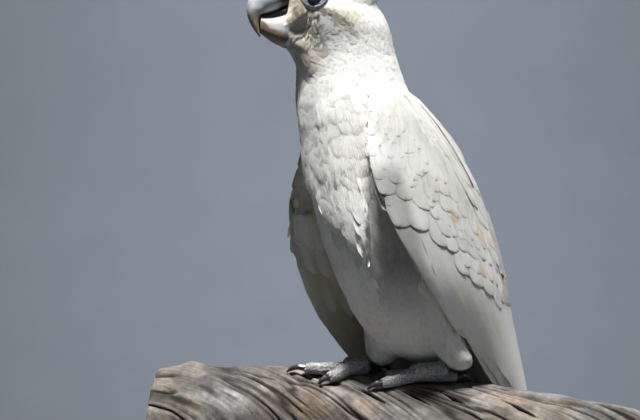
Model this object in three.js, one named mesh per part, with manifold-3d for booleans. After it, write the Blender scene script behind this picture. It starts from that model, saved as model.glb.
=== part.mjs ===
// A little corella, a small white cockatoo, life size, standing on a cut length of weathered
// branch that two rods hold over a round base. Millimetres, +Z up.
//
// The bird is modelled in its own frame: +X to its left, +Y behind it, +Z up, with the origin
// close above the perch, under the bird's breast. The exported group moves that frame so that the
// part's own origin is the centre of the underside of the stand's base, and the bird faces -Y.
import * as THREE from "three";
import { mergeVertices } from "three/addons/utils/BufferGeometryUtils.js";
import Module from "manifold-3d";

const wasm = await Module();
wasm.setup();

// ---- Driving dimensions ---------------------------------------------------------------------

const GAP = 0.3; // between solids that touch
const TRIM = 0.07; // how far a face may move where slivers and needless corners are taken out

const PERCH_RADIUS = 34;
const PERCH_LENGTH = 316;
const PERCH_YAW = 45; // degrees, from +X towards +Y
const PERCH_AXIS_AT = [-1.6, 1.2, 1 - PERCH_RADIUS]; // a point of its axis, near the feet
const PERCH_MIDDLE = -10; // its middle, along the axis from that point
const PERCH_CREST = -100; // where its bend is highest, along the axis
const PERCH_BEND = 4.4e-4; // how it falls away from there, with the square of the distance

const BASE_RADIUS = 112;
const BASE_THICKNESS = 14;
const BASE_CHAMFER = 2.5;
const ROD_RADIUS = 5;
const ROD_SPACING = 130; // between the two rods
const ROD_LENGTH = 44; // clear height under the perch's middle
const ROD_INTO_PERCH = 10;

const EYE_MIDPOINT = [-3, -79, 241]; // between the eyes
const HEAD_TURN = 25; // degrees, towards the bird's right
const EYE_RADIUS = 6;
const EYE_ASIDE = 18.6; // of each eye's centre from the middle of the head

// ---- Shapes ---------------------------------------------------------------------------------

const vec = (p) => new THREE.Vector3(...p);
const radians = THREE.MathUtils.degToRad;

// Values between the rows of a table, on a smooth curve through them; t runs from 0 to 1.
function between(rows, t) {
  const at = t * (rows.length - 1);
  const i = Math.min(Math.floor(at), rows.length - 2);
  const f = at - i;
  const row = (k) => rows[THREE.MathUtils.clamp(k, 0, rows.length - 1)];
  return rows[i].map((b, k) => {
    const a = row(i - 1)[k];
    const c = row(i + 1)[k];
    const d = row(i + 2)[k];
    const bend = 2 * a - 5 * b + 4 * c - d;
    return 0.5 * (2 * b + (c - a) * f + bend * f * f + (3 * b - a - 3 * c + d) * f ** 3);
  });
}

// A closed mesh through rings of points, with a fan over each end.
function loft(rings) {
  const count = rings[0].length;
  const points = rings.flat();
  const faces = [];
  for (let i = 0; i + 1 < rings.length; i++)
    for (let j = 0; j < count; j++) {
      const a = i * count + j;
      const b = i * count + ((j + 1) % count);
      faces.push(a, b, b + count, a, b + count, a + count);
    }
  for (const [ring, first] of [
    [rings[0], 0],
    [rings.at(-1), (rings.length - 1) * count],
  ]) {
    const middle = new THREE.Vector3();
    ring.forEach((p) => middle.addScaledVector(p, 1 / count));
    points.push(middle);
    for (let j = 0; j < count; j++) {
      const a = first + j;
      const b = first + ((j + 1) % count);
      if (first === 0) faces.push(b, a, points.length - 1);
      else faces.push(a, b, points.length - 1);
    }
  }
  return new THREE.BufferGeometry().setFromPoints(points).setIndex(faces);
}

// A ring about a centre, on two half axes; squareness 2 is an ellipse.
function ring(centre, across, along, count, squareness = 2) {
  return Array.from({ length: count }, (_, j) => {
    const angle = (2 * Math.PI * j) / count;
    const c = Math.cos(angle);
    const s = Math.sin(angle);
    return vec(centre)
      .addScaledVector(vec(across), Math.sign(c) * Math.abs(c) ** (2 / squareness))
      .addScaledVector(vec(along), Math.sign(s) * Math.abs(s) ** (2 / squareness));
  });
}

// A round limb along a smooth line through rows of [x, y, z, radius].
function limb(rows, sides, steps, grow = 0) {
  const points = Array.from({ length: steps + 1 }, (_, i) => between(rows, i / steps));
  return loft(
    points.map((p, i) => {
      const ahead = vec(points[Math.min(i + 1, steps)]);
      const direction = ahead.sub(vec(points[Math.max(i - 1, 0)])).normalize();
      const upright = Math.abs(direction.z) > 0.9 ? [1, 0, 0] : [0, 0, 1];
      const across = new THREE.Vector3().crossVectors(direction, vec(upright)).normalize();
      const along = new THREE.Vector3().crossVectors(across, direction);
      const radius = p[3] + grow;
      return ring(p, across.multiplyScalar(radius), along.multiplyScalar(radius), sides);
    }),
  );
}

// ---- Solids ---------------------------------------------------------------------------------

// A manifold-3d solid of a closed geometry, with its faces turned outwards.
function solid(geometry) {
  const bare = geometry.clone();
  bare.deleteAttribute("normal");
  bare.deleteAttribute("uv");
  const merged = mergeVertices(bare, 1e-4);
  const triVerts = new Uint32Array(merged.index.array);
  const vertProperties = merged.attributes.position.array;
  const made = new wasm.Manifold(new wasm.Mesh({ numProp: 3, vertProperties, triVerts }));
  if (made.volume() > 0) return made;
  for (let i = 0; i < triVerts.length; i += 3)
    [triVerts[i + 1], triVerts[i + 2]] = [triVerts[i + 2], triVerts[i + 1]];
  return new wasm.Manifold(new wasm.Mesh({ numProp: 3, vertProperties, triVerts }));
}

function geometryOf(made) {
  const mesh = made.simplify(TRIM).getMesh();
  const position = new Float32Array(mesh.numVert * 3);
  for (let i = 0; i < mesh.numVert; i++) {
    const start = i * mesh.numProp;
    position.set(mesh.vertProperties.subarray(start, start + 3), i * 3);
  }
  const geometry = new THREE.BufferGeometry();
  geometry.setAttribute("position", new THREE.BufferAttribute(position, 3));
  geometry.setIndex(new THREE.BufferAttribute(mesh.triVerts, 1));
  geometry.computeVertexNormals();
  return geometry;
}

// The largest body of a solid that a cut may have left crumbs beside.
const largest = (made) => made.decompose().sort((a, b) => b.volume() - a.volume())[0];

// A big box whose upper face is the plane through a point with that normal, moved along it.
function halfSpace(point, normal, moved) {
  const size = 900;
  const box = new THREE.BoxGeometry(size, size, size).translate(0, 0, -size / 2);
  const turn = new THREE.Quaternion().setFromUnitVectors(
    new THREE.Vector3(0, 0, 1),
    vec(normal).normalize(),
  );
  const at = vec(point).addScaledVector(vec(normal).normalize(), moved);
  return solid(box.applyQuaternion(turn).translate(at.x, at.y, at.z));
}

// Parts a solid in two at a plane, leaving the gap between them: [below it, above it].
function parted(made, point, normal) {
  const below = made.intersect(halfSpace(point, normal, -GAP / 2));
  const above = made.subtract(halfSpace(point, normal, GAP / 2));
  return [largest(below), largest(above)];
}

// ---- Neck and trunk -------------------------------------------------------------------------

// Level sections from the vent to the nape: [up, back, half width, half depth].
const BODY = [
  [4, 21, 8, 11],
  [11, 17, 17, 28],
  [25, 9, 25, 42],
  [44, 2, 35, 51],
  [74, -7.5, 41, 56.5],
  [104, -17.5, 43, 55.5],
  [130, -26.5, 42, 51.5],
  [148, -34, 40.5, 47],
  [164, -41, 38, 43.5],
  [180, -46.5, 35, 39.5],
  [194, -50, 33, 36],
  [208, -53.5, 31.5, 34.5],
  [222, -58, 31, 34],
  [234, -63, 28, 32],
  [242, -68, 21, 25],
];
const BODY_SIDES = 20;
const BODY_STEPS = 20;

function bodyGeometry(grow = 0) {
  return loft(
    Array.from({ length: BODY_STEPS + 1 }, (_, i) => {
      const [up, back, width, depth] = between(BODY, i / BODY_STEPS);
      return ring([0, back, up], [width + grow, 0, 0], [0, depth + grow, 0], BODY_SIDES, 2.1);
    }),
  );
}

// The mantle, which fills the back between the folded wings, in the same columns.
const MANTLE = [
  [180, -15, 18, 6],
  [164, -4, 22, 10],
  [150, 7, 22, 12.5],
  [126, 24, 17, 14.5],
  [103, 37.5, 13, 14],
  [80, 47, 9, 13],
  [60, 50, 6, 8],
];
const MANTLE_SIDES = 14;
const MANTLE_STEPS = 8;

function mantleGeometry(grow = 0) {
  return loft(
    Array.from({ length: MANTLE_STEPS + 1 }, (_, i) => {
      const [up, back, width, depth] = between(MANTLE, i / MANTLE_STEPS);
      return ring([0, back, up], [width + grow, 0, 0], [0, depth + grow, 0], MANTLE_SIDES);
    }),
  );
}

// ---- Head -----------------------------------------------------------------------------------

// The head's own frame: forward, aside to its left, and up, from the midpoint of the eyes.
const turn = radians(HEAD_TURN);
const FORWARD = new THREE.Vector3(-Math.sin(turn), -Math.cos(turn), 0);
const ASIDE = new THREE.Vector3(Math.cos(turn), -Math.sin(turn), 0);
const UP = new THREE.Vector3(0, 0, 1);

function headPoint(forward, aside, up) {
  return vec(EYE_MIDPOINT)
    .addScaledVector(FORWARD, forward)
    .addScaledVector(ASIDE, aside)
    .addScaledVector(UP, up);
}

// Upright sections from the back of the head to the face: [forward, up, half width, half height].
const SKULL = [
  [-43.5, -2, 7, 9],
  [-39, -1.5, 15.5, 17],
  [-29, 0, 20.5, 22.5],
  [-15, 1.2, 23.5, 25.5],
  [-4, 0.5, 23.6, 26.4],
  [5, -2, 21.5, 26],
  [11, -5, 17.5, 23.5],
  [15, -7.5, 13.5, 20.5],
  [17, -9.5, 9, 16.5],
];
const SKULL_SIDES = 18;
const SKULL_STEPS = 11;

function skullGeometry(grow = 0) {
  return loft(
    Array.from({ length: SKULL_STEPS + 1 }, (_, i) => {
      const [forward, up, width, height] = between(SKULL, i / SKULL_STEPS);
      const across = ASIDE.clone().multiplyScalar(width + grow);
      const ends = i === 0 ? -grow : i === SKULL_STEPS ? grow : 0;
      const centre = headPoint(forward + ends, 0, up);
      return ring(centre, across, [0, 0, height + grow], SKULL_SIDES, 2.15);
    }),
  );
}

// A bill half, from its upper and lower edges: rows of [forward, up] with the half widths.
function billGeometry(upper, lower, widths, sides, steps, squareness) {
  return loft(
    Array.from({ length: steps + 1 }, (_, i) => {
      const [upperForward, upperUp] = between(upper, i / steps);
      const [lowerForward, lowerUp] = between(lower, i / steps);
      const [width] = between(widths, i / steps);
      const top = headPoint(upperForward, 0, upperUp);
      const bottom = headPoint(lowerForward, 0, lowerUp);
      const along = top.clone().sub(bottom).multiplyScalar(0.5);
      const centre = top.clone().add(bottom).multiplyScalar(0.5);
      return ring(centre, ASIDE.clone().multiplyScalar(width), along, sides, squareness);
    }),
  );
}

// The hooked upper half: the ridge of the bill, and its cutting edge with the notch.
const CULMEN = [
  [8, 9],
  [20, 10.4],
  [30, 7.6],
  [37.2, 0.6],
  [39.9, -8.5],
  [38.3, -17.3],
  [35, -23.2],
  [31.9, -27.4],
];
const CUTTING_EDGE = [
  [5, -6],
  [13, -9],
  [19, -14],
  [25.5, -16.2],
  [30, -15.2],
  [31.6, -18.4],
  [31.5, -23.4],
  [31.4, -27.1],
];
const UPPER_WIDTHS = [[9.2], [9.6], [9.2], [7.4], [5.8], [4], [2.4], [0.8]];
const UPPER_SIDES = 12;
const UPPER_STEPS = 12;

// The scoop of the lower half, which closes behind the hook.
const LOWER_EDGE = [
  [5, -12],
  [13, -13.6],
  [19.5, -16.6],
  [25.5, -18],
  [30.2, -16.8],
];
const GONYS = [
  [5, -32],
  [13, -34],
  [20.5, -32],
  [26, -28.7],
  [30.4, -25],
];
const LOWER_WIDTHS = [[9], [9.3], [8.6], [7], [4.6]];
const LOWER_SIDES = 12;
const LOWER_STEPS = 7;

// The chin and the throat, from under the bill into the neck: rows of [forward, up, radius].
const CHIN = [
  [15.5, -23.5, 9],
  [6.5, -27.5, 13.5],
  [-3, -35.5, 17],
  [-13, -48, 20],
  [-24, -60, 18],
];
const CHIN_SIDES = 16;
const CHIN_STEPS = 8;

function chinGeometry(grow = 0) {
  const rows = CHIN.map(([forward, up, radius]) => [...headPoint(forward, 0, up), radius]);
  return limb(rows, CHIN_SIDES, CHIN_STEPS, grow);
}

// The crest lies folded along the crown, its tips a little lifted off the nape:
// rows of [forward, up, half width, half thickness].
const CREST = [
  [14, 24.2, 3, 0.8],
  [4, 26.4, 7.5, 1.8],
  [-10, 26.8, 9, 2.4],
  [-24, 23.2, 8, 2.6],
  [-36, 17.6, 5.2, 2.1],
  [-45, 13.6, 2.6, 1.3],
  [-50, 12, 0.9, 0.7],
];
const CREST_SIDES = 10;
const CREST_STEPS = 10;

function crestGeometry() {
  return loft(
    Array.from({ length: CREST_STEPS + 1 }, (_, i) => {
      const [forward, up, width, thick] = between(CREST, i / CREST_STEPS);
      const centre = headPoint(forward, 0, up);
      return ring(centre, ASIDE.clone().multiplyScalar(width), [0, 0, thick], CREST_SIDES);
    }),
  );
}

function eyeGeometry(side, grow = 0) {
  const at = headPoint(0, side * EYE_ASIDE, 0);
  return new THREE.SphereGeometry(EYE_RADIUS + grow, 14, 8).translate(at.x, at.y, at.z);
}

// ---- Wings ----------------------------------------------------------------------------------

// Level sections of the folded left wing, from the shoulder to the tip:
// [up, leading edge aside, back, trailing edge aside, back, bulge outwards, thickness].
const WING = [
  [186, 28, -44, 23, -32, 1, 3],
  [182, 34, -53, 19, -15, 5, 7],
  [172, 40, -62, 16.5, 0.5, 9, 9],
  [150, 42.5, -64.5, 12, 27, 13, 10],
  [126, 46, -64, 9, 46.5, 16, 10],
  [103, 49, -55.5, 6, 59, 16, 9],
  [80, 51, -42.5, 4.5, 68.5, 15, 8],
  [58, 50, -25.6, 5, 74, 13, 7],
  [38, 44, -4.8, 4, 79, 11, 6],
  [16, 35, 22, 4, 85, 8, 5],
  [-4, 28.5, 44, 4.5, 90, 5, 4],
  [-18, 21, 62, 5, 93, 3.5, 3.5],
  [-34, 16, 78, 6, 97, 2, 3],
  [-52, 13, 90, 7, 100, 1, 2.4],
  [-62, 11, 97, 9, 101.5, 0.3, 1.6],
];
const WING_STEPS = 18;
const WING_ACROSS = 7;
const SHOULDER = [30, -45, 165]; // the pivot that each wing hangs from
const WING_CUT = [[40, -10, 84], [0.12, 0.4, 0.92]]; // where the coverts end and the quills begin
const WING_POSES = {
  left: { droop: 0, spread: 0, shift: [0, 0, 0] },
  right: { droop: 7.5, spread: 5, shift: [0, 6, -18] },
};

// One section: its outer face from the leading edge to the trailing one, and its inner face back.
function wingRing(row, grow) {
  const [up, leadAside, leadBack, trailAside, trailBack, bulge, thick] = row;
  const lead = new THREE.Vector2(leadAside, leadBack);
  const chord = new THREE.Vector2(trailAside, trailBack).sub(lead);
  const outwards = new THREE.Vector2(chord.y, -chord.x).normalize();
  const face = (inset) =>
    Array.from({ length: WING_ACROSS }, (_, j) => {
      const t = j / (WING_ACROSS - 1);
      const arch = Math.sin(Math.PI * t ** 0.85);
      const edge = Math.sin(Math.PI * Math.min(Math.max(t, 0.04), 0.96)) ** 0.5;
      const out = bulge * arch - inset * (thick * edge + 2 * grow) + grow;
      const past = t + ((2 * t - 1) * grow) / chord.length();
      const p = lead.clone().addScaledVector(chord, past).addScaledVector(outwards, out);
      return new THREE.Vector3(p.x, p.y, up);
    });
  return [...face(0), ...face(1).reverse()];
}

function wingGeometry(side, grow = 0) {
  const rings = Array.from({ length: WING_STEPS + 1 }, (_, i) =>
    wingRing(between(WING, i / WING_STEPS), grow),
  );
  const { droop, spread, shift } = WING_POSES[side];
  const geometry = loft(rings);
  geometry.translate(-SHOULDER[0], -SHOULDER[1], -SHOULDER[2]);
  geometry.rotateX(-radians(droop));
  geometry.rotateY(-radians(spread));
  geometry.translate(...SHOULDER);
  geometry.translate(...shift);
  return side === "left" ? geometry : geometry.scale(-1, 1, 1);
}

// ---- Tail -----------------------------------------------------------------------------------

// Level sections from the rump to the tip: [up, back, half width, half thickness].
const TAIL = [
  [62, 34, 17, 11],
  [38, 44, 18, 13],
  [14, 55, 16.5, 10],
  [-10, 65.5, 16, 6],
  [-34, 75.5, 18, 4],
  [-58, 84.5, 21, 2.8],
  [-72, 89.5, 20, 2.2],
  [-77, 91.5, 15, 1.6],
];
const TAIL_SIDES = 12;
const TAIL_STEPS = 10;

function tailGeometry(grow = 0) {
  return loft(
    Array.from({ length: TAIL_STEPS + 1 }, (_, i) => {
      const [up, back, width, thick] = between(TAIL, i / TAIL_STEPS);
      return ring([0, back, up], [width + grow, 0, 0], [0, thick + grow, 0], TAIL_SIDES, 2.4);
    }),
  );
}

// ---- Legs -----------------------------------------------------------------------------------

// The perch's own directions: along it and square to it, both level, and up.
const yaw = radians(PERCH_YAW);
const PERCH_ALONG = new THREE.Vector3(Math.cos(yaw), Math.sin(yaw), 0);
const PERCH_ASIDE = new THREE.Vector3(-Math.sin(yaw), Math.cos(yaw), 0);

// A point of its bent axis, at a distance along it.
function perchAxis(along) {
  const fall = PERCH_BEND * ((along - PERCH_CREST) ** 2 - PERCH_CREST ** 2);
  return vec(PERCH_AXIS_AT).addScaledVector(PERCH_ALONG, along).addScaledVector(UP, -fall);
}

// Its radius, at an angle about the axis and a distance along it. The bird stands on a worn flat
// beside the ridge of the branch.
function perchRadius(angle, along) {
  const s = along / PERCH_LENGTH;
  const swell = (middle, spread) => Math.exp(-(((angle - radians(middle)) / radians(spread)) ** 2));
  const lumps =
    0.025 * Math.sin(2 * angle + 1 + 2.2 * s) +
    0.02 * Math.sin(3 * angle - 4.1 * s) +
    0.015 * Math.sin(5 * angle + 7 * s + 2);
  return PERCH_RADIUS * (1 + lumps - 0.06 * s + 0.05 * swell(68, 26) - 0.08 * swell(122, 30));
}

// A point of its bark, or one raised off it.
function perchPoint(angle, along, raised) {
  const radius = perchRadius(angle, along) + raised;
  return perchAxis(along)
    .addScaledVector(PERCH_ASIDE, Math.cos(angle) * radius)
    .addScaledVector(UP, Math.sin(angle) * radius);
}

// The point of the bark below a point, raised off it.
function onPerch(point, raised) {
  const along = vec(point).sub(vec(PERCH_AXIS_AT)).dot(PERCH_ALONG);
  const from = vec(point).sub(perchAxis(along));
  return perchPoint(Math.atan2(from.z, from.dot(PERCH_ASIDE)), along, raised);
}

// A point given along the perch, aside from its axis, and up.
function besidePerch([along, aside, up]) {
  const at = perchAxis(along).addScaledVector(PERCH_ASIDE, aside);
  return new THREE.Vector3(at.x, at.y, up);
}

// Each leg, from the hip to the feathered cuff, the scaly heel and the pad of the foot: the hip
// in the bird's frame, the others along and aside from the perch, and up. Then its four toes:
// the way each points, in degrees outwards from the perch's lower end.
const LEGS = {
  left: {
    hip: [21, -4, 58],
    cuff: [29.5, -11, 12],
    heel: [24, -9, 5],
    pad: [5.5, -14, 3],
    toes: { inner_front: 8, outer_front: 42, outer_back: -160, inner_back: -132 },
  },
  right: {
    hip: [-21, -8, 58],
    cuff: [-20, -4, 14],
    heel: [-28, -7, 7],
    pad: [-39.5, -11.5, 6],
    toes: { inner_front: -56, outer_front: -1, outer_back: 130, inner_back: 154 },
  },
};
const THIGH_RADII = [19, 20, 17.5, 14.5, 13, 11.5, 7];
const THIGH_SIDES = 12;
const THIGH_STEPS = 7;
// The loose round cuff of feathers about the heel: half sizes along the perch, aside and up, and
// how far it leans towards the perch's higher end, in degrees.
const CUFF = { left: [15, 11, 10.5, 30], right: [12, 11, 10, 20] };
const CUFF_SIDES = [12, 7];

// The thigh's feathers narrow towards the heel.
function thighGeometry({ hip, cuff }) {
  const line = new THREE.LineCurve3(vec(hip), besidePerch(cuff).lerp(vec(hip), -0.14));
  const rows = THIGH_RADII.map((radius, i) => [
    ...line.getPoint(i / (THIGH_RADII.length - 1)),
    radius,
  ]);
  return limb(rows, THIGH_SIDES, THIGH_STEPS);
}

function cuffGeometry(side) {
  const [along, aside, high, lean] = CUFF[side];
  const at = besidePerch(LEGS[side].cuff);
  return new THREE.SphereGeometry(1, ...CUFF_SIDES)
    .scale(along, aside, high)
    .rotateY(radians(lean))
    .rotateZ(yaw)
    .translate(at.x, at.y, at.z);
}

// The four toes, two ahead and two behind: length without the claw, and the claw's length.
const TOES = [
  { name: "inner_front", length: 21, claw: 11.5 },
  { name: "outer_front", length: 29, claw: 13 },
  { name: "outer_back", length: 26, claw: 11.5 },
  { name: "inner_back", length: 14, claw: 9.5 },
];
const TOE_RADIUS = 4.3;
const SHANK_RADIUS = 4.8;
const CLAW_RADIUS = 2.4;
const TOE_SIDES = 7;
const TOE_STEPS = 4;
const CLAW_SIDES = 6;
const CLAW_STEPS = 4;

function footParts(side, grow = 0) {
  const { heel, pad, toes } = LEGS[side];
  const hand = side === "left" ? 1 : -1;
  const heelAt = besidePerch(heel);
  const padAt = onPerch(besidePerch(pad), TOE_RADIUS + 3);
  const shank = [
    [...heelAt, SHANK_RADIUS],
    [...heelAt.clone().lerp(padAt, 0.5), SHANK_RADIUS],
    [...padAt, SHANK_RADIUS + 1.2],
    [...heelAt.clone().lerp(padAt, 1.25), SHANK_RADIUS - 1],
  ];
  let foot = solid(limb(shank, TOE_SIDES, TOE_STEPS, grow));
  const claws = [];
  for (const { name, length, claw } of TOES) {
    const way = PERCH_ALONG.clone().applyAxisAngle(UP, Math.PI + hand * radians(toes[name]));
    const reach = (distance, raised) =>
      onPerch(padAt.clone().addScaledVector(way, distance), raised);
    const toe = [
      [...reach(0, TOE_RADIUS + 1), TOE_RADIUS],
      [...reach(length * 0.35, TOE_RADIUS + 0.6), TOE_RADIUS],
      [...reach(length * 0.62, TOE_RADIUS - 0.4), TOE_RADIUS - 0.5],
      [...reach(length * 0.85, TOE_RADIUS), TOE_RADIUS - 0.5],
      [...reach(length, TOE_RADIUS - 0.8), TOE_RADIUS - 1.3],
    ];
    foot = foot.add(solid(limb(toe, TOE_SIDES, TOE_STEPS, grow)));
    const hook = [
      [...reach(length - 1, TOE_RADIUS - 0.4), CLAW_RADIUS],
      [...reach(length + claw * 0.4, TOE_RADIUS + 0.4), CLAW_RADIUS * 0.85],
      [...reach(length + claw * 0.75, TOE_RADIUS - 1.8), CLAW_RADIUS * 0.55],
      [...reach(length + claw * 0.92, 0.8), 0.5],
    ];
    claws.push(solid(limb(hook, CLAW_SIDES, CLAW_STEPS, grow)));
  }
  return { foot, claws };
}

// ---- Perch and stand ------------------------------------------------------------------------

const PERCH_SIDES = 20;
const PERCH_STEPS = 12;

function perchGeometry(grow = 0) {
  return loft(
    Array.from({ length: PERCH_STEPS + 1 }, (_, i) => {
      const along = PERCH_MIDDLE + PERCH_LENGTH * (i / PERCH_STEPS - 0.5);
      return Array.from({ length: PERCH_SIDES }, (_, j) =>
        perchPoint((2 * Math.PI * j) / PERCH_SIDES, along, grow),
      );
    }),
  );
}

const PERCH_CENTRE = perchAxis(PERCH_MIDDLE);
const BASE_TOP = PERCH_CENTRE.z - PERCH_RADIUS - ROD_LENGTH;

function rodGeometry(side, grow = 0) {
  const foot = perchAxis(PERCH_MIDDLE + (side * ROD_SPACING) / 2);
  const top = foot.z - PERCH_RADIUS + ROD_INTO_PERCH;
  const height = top - BASE_TOP - GAP;
  return new THREE.CylinderGeometry(ROD_RADIUS + grow, ROD_RADIUS + grow, height + 2 * grow, 16)
    .rotateX(Math.PI / 2)
    .translate(foot.x, foot.y, BASE_TOP + GAP + height / 2);
}

function baseGeometry() {
  const r = BASE_RADIUS;
  const c = BASE_CHAMFER;
  const profile = [
    [0, 0],
    [r, 0],
    [r, BASE_THICKNESS - c],
    [r - c, BASE_THICKNESS],
    [0, BASE_THICKNESS],
  ];
  return new THREE.LatheGeometry(profile.map((p) => new THREE.Vector2(...p)), 36)
    .rotateX(Math.PI / 2)
    .translate(PERCH_CENTRE.x, PERCH_CENTRE.y, BASE_TOP - BASE_THICKNESS);
}

// ---- The model ------------------------------------------------------------------------------

const model = new THREE.Group();
const bird = new THREE.Group();
const stand = new THREE.Group();
model.add(bird, stand);

function finish(color, roughness, metalness = 0) {
  return new THREE.MeshStandardMaterial({ color, roughness, metalness });
}
const PLUMAGE = finish(0xefede6, 0.85);
const QUILLS = finish(0xe9e6da, 0.7);
const HORN = finish(0xc9c7bd, 0.45);
const EYE = finish(0x1a1310, 0.08);
const SKIN = finish(0x77757a, 0.75);
const CLAW = finish(0x2a2a2d, 0.4);
const BARK = finish(0x8d8377, 0.95);
const BASE = finish(0x4b3526, 0.5);
const STEEL = finish(0x9a9a98, 0.35, 0.9);

function place(group, name, made, material) {
  const mesh = new THREE.Mesh(geometryOf(made), material);
  mesh.name = name;
  group.add(mesh);
}

// Head, neck and trunk are one form, parted at the throat and above the shoulders.
const forms = [bodyGeometry, mantleGeometry, skullGeometry, chinGeometry];
const joined = (grow) => forms.map((make) => solid(make(grow))).reduce((a, b) => a.add(b));
const flesh = joined(0);
const grownFlesh = joined(GAP);
const THROAT = [headPoint(-13, 0, -26), [-0.2, -0.44, 0.87]];
const COLLAR = [[0, -44, 172], [0, -0.3, 0.95]];
const [belowHead, headWhole] = parted(flesh, ...THROAT);
const [trunk, neck] = parted(belowHead, ...COLLAR);
const sockets = solid(eyeGeometry(1, GAP)).add(solid(eyeGeometry(-1, GAP)));
place(bird, "head", largest(headWhole.subtract(sockets)), PLUMAGE);
place(bird, "neck", neck, PLUMAGE);
place(bird, "trunk", trunk, PLUMAGE);
place(bird, "eye_left", solid(eyeGeometry(1)), EYE);
place(bird, "eye_right", solid(eyeGeometry(-1)), EYE);

const upperBill = solid(
  billGeometry(CULMEN, CUTTING_EDGE, UPPER_WIDTHS, UPPER_SIDES, UPPER_STEPS, 2.2),
);
const lowerBill = solid(
  billGeometry(LOWER_EDGE, GONYS, LOWER_WIDTHS, LOWER_SIDES, LOWER_STEPS, 2.5),
);
place(bird, "bill_upper", largest(upperBill.subtract(grownFlesh)), HORN);
place(bird, "bill_lower", largest(lowerBill.subtract(grownFlesh)), HORN);
place(bird, "crest", largest(solid(crestGeometry()).subtract(grownFlesh)), PLUMAGE);

const grownTail = solid(tailGeometry(GAP));
const perch = solid(perchGeometry());
const grownPerch = solid(perchGeometry(GAP));
const tail = solid(tailGeometry()).subtract(grownFlesh).subtract(grownPerch);
place(bird, "tail", largest(tail), QUILLS);

for (const side of ["left", "right"]) {
  const wing = [grownFlesh, grownTail, grownPerch].reduce(
    (made, cutter) => largest(made.subtract(cutter)),
    solid(wingGeometry(side)),
  );
  const [point, normal] = WING_CUT;
  const hand = side === "left" ? 1 : -1;
  const mirrored = (p) => [hand * p[0], p[1], p[2]];
  const [quills, coverts] = parted(wing, mirrored(point), mirrored(normal));
  place(bird, `wing_${side}_coverts`, coverts, PLUMAGE);
  place(bird, `wing_${side}_quills`, quills, QUILLS);
}

for (const side of ["left", "right"]) {
  const { foot, claws } = footParts(side);
  const { foot: grownFoot, claws: grownClaws } = footParts(side, GAP);
  const grownWing = solid(wingGeometry(side, GAP));
  const leg = solid(thighGeometry(LEGS[side])).add(solid(cuffGeometry(side)));
  const thigh = [grownFlesh, grownTail, grownPerch, grownWing, grownFoot, ...grownClaws].reduce(
    (made, cutter) => largest(made.subtract(cutter)),
    leg,
  );
  place(bird, `thigh_${side}`, thigh, PLUMAGE);
  const bare = [grownPerch, ...grownClaws].reduce((made, cutter) => made.subtract(cutter), foot);
  place(bird, `foot_${side}`, largest(bare), SKIN);
  claws.forEach((claw, i) => {
    place(bird, `claw_${side}_${TOES[i].name}`, largest(claw.subtract(grownPerch)), CLAW);
  });
}

const rodHoles = solid(rodGeometry(1, GAP)).add(solid(rodGeometry(-1, GAP)));
place(stand, "perch", largest(perch.subtract(rodHoles)), BARK);
place(stand, "stand_rod_front", solid(rodGeometry(-1)), STEEL);
place(stand, "stand_rod_back", solid(rodGeometry(1)), STEEL);
place(stand, "stand_base", solid(baseGeometry()), BASE);

model.position.set(-PERCH_CENTRE.x, -PERCH_CENTRE.y, BASE_THICKNESS - BASE_TOP);

export default model;
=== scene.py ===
"""The looks of a little corella, with its perch and its stand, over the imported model.

Everything is worked out in millimetres in the bird's own frame: +X to its left, +Y behind it."""

import math

import bmesh
import bpy
import numpy as np
from mathutils import Matrix, Vector
from mathutils.bvhtree import BVHTree


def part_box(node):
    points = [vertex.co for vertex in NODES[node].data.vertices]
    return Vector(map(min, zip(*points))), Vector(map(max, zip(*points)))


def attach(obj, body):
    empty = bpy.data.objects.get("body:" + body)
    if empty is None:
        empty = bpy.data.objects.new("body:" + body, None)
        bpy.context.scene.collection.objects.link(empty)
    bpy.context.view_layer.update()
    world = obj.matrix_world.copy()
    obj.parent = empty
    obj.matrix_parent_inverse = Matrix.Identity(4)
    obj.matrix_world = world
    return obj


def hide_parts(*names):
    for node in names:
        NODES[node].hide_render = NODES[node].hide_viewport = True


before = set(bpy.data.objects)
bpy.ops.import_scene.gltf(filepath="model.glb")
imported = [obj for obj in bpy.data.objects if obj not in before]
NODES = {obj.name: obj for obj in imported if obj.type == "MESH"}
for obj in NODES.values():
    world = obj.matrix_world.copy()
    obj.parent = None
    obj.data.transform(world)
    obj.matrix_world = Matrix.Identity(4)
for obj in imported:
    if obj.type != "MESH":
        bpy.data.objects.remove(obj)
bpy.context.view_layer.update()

# ---- Where things are ------------------------------------------------------------------------

MM = 0.001
EYE_MIDPOINT = np.array([-3.0, -79.0, 241.0])
EYE_ASIDE = 18.6  # from the head's middle to the middle of an eye
HEAD_TURN = math.radians(25)


def box_middle(node):
    low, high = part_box(node)
    return np.array((low + high) / 2) / MM


ORIGIN = (box_middle("eye_left") + box_middle("eye_right")) / 2 - EYE_MIDPOINT
UP = np.array([0.0, 0.0, 1.0])
FORWARD = np.array([-math.sin(HEAD_TURN), -math.cos(HEAD_TURN), 0.0])
ASIDE = np.array([math.cos(HEAD_TURN), -math.sin(HEAD_TURN), 0.0])


def to_row(points):
    return (np.asarray(points) + ORIGIN) * MM


def head_point(forward, aside, up):
    return EYE_MIDPOINT + FORWARD * forward + ASIDE * aside + UP * up


def in_head(points):
    """Forward, aside and up of points, from between the eyes."""
    away = points - EYE_MIDPOINT
    return away @ FORWARD, away @ ASIDE, away[:, 2]


def unit(vectors):
    return vectors / (np.linalg.norm(vectors, axis=-1, keepdims=True) + 1e-12)


def ease(x):
    x = np.clip(x, 0, 1)
    return x * x * (3 - 2 * x)


def window(x, low, rising, high, falling):
    """1 between two levels of x, and 0 outside them, with slopes of those widths within."""
    return ease((x - low) / rising) * ease((high - x) / falling)


def bell(x, middle, width):
    return np.exp(-(((x - middle) / width) ** 2))


def blend(under, over, weight):
    """Colours under another that covers them by a weight of each."""
    weight = weight[..., None]
    return under * (1 - weight) + over * weight


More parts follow.
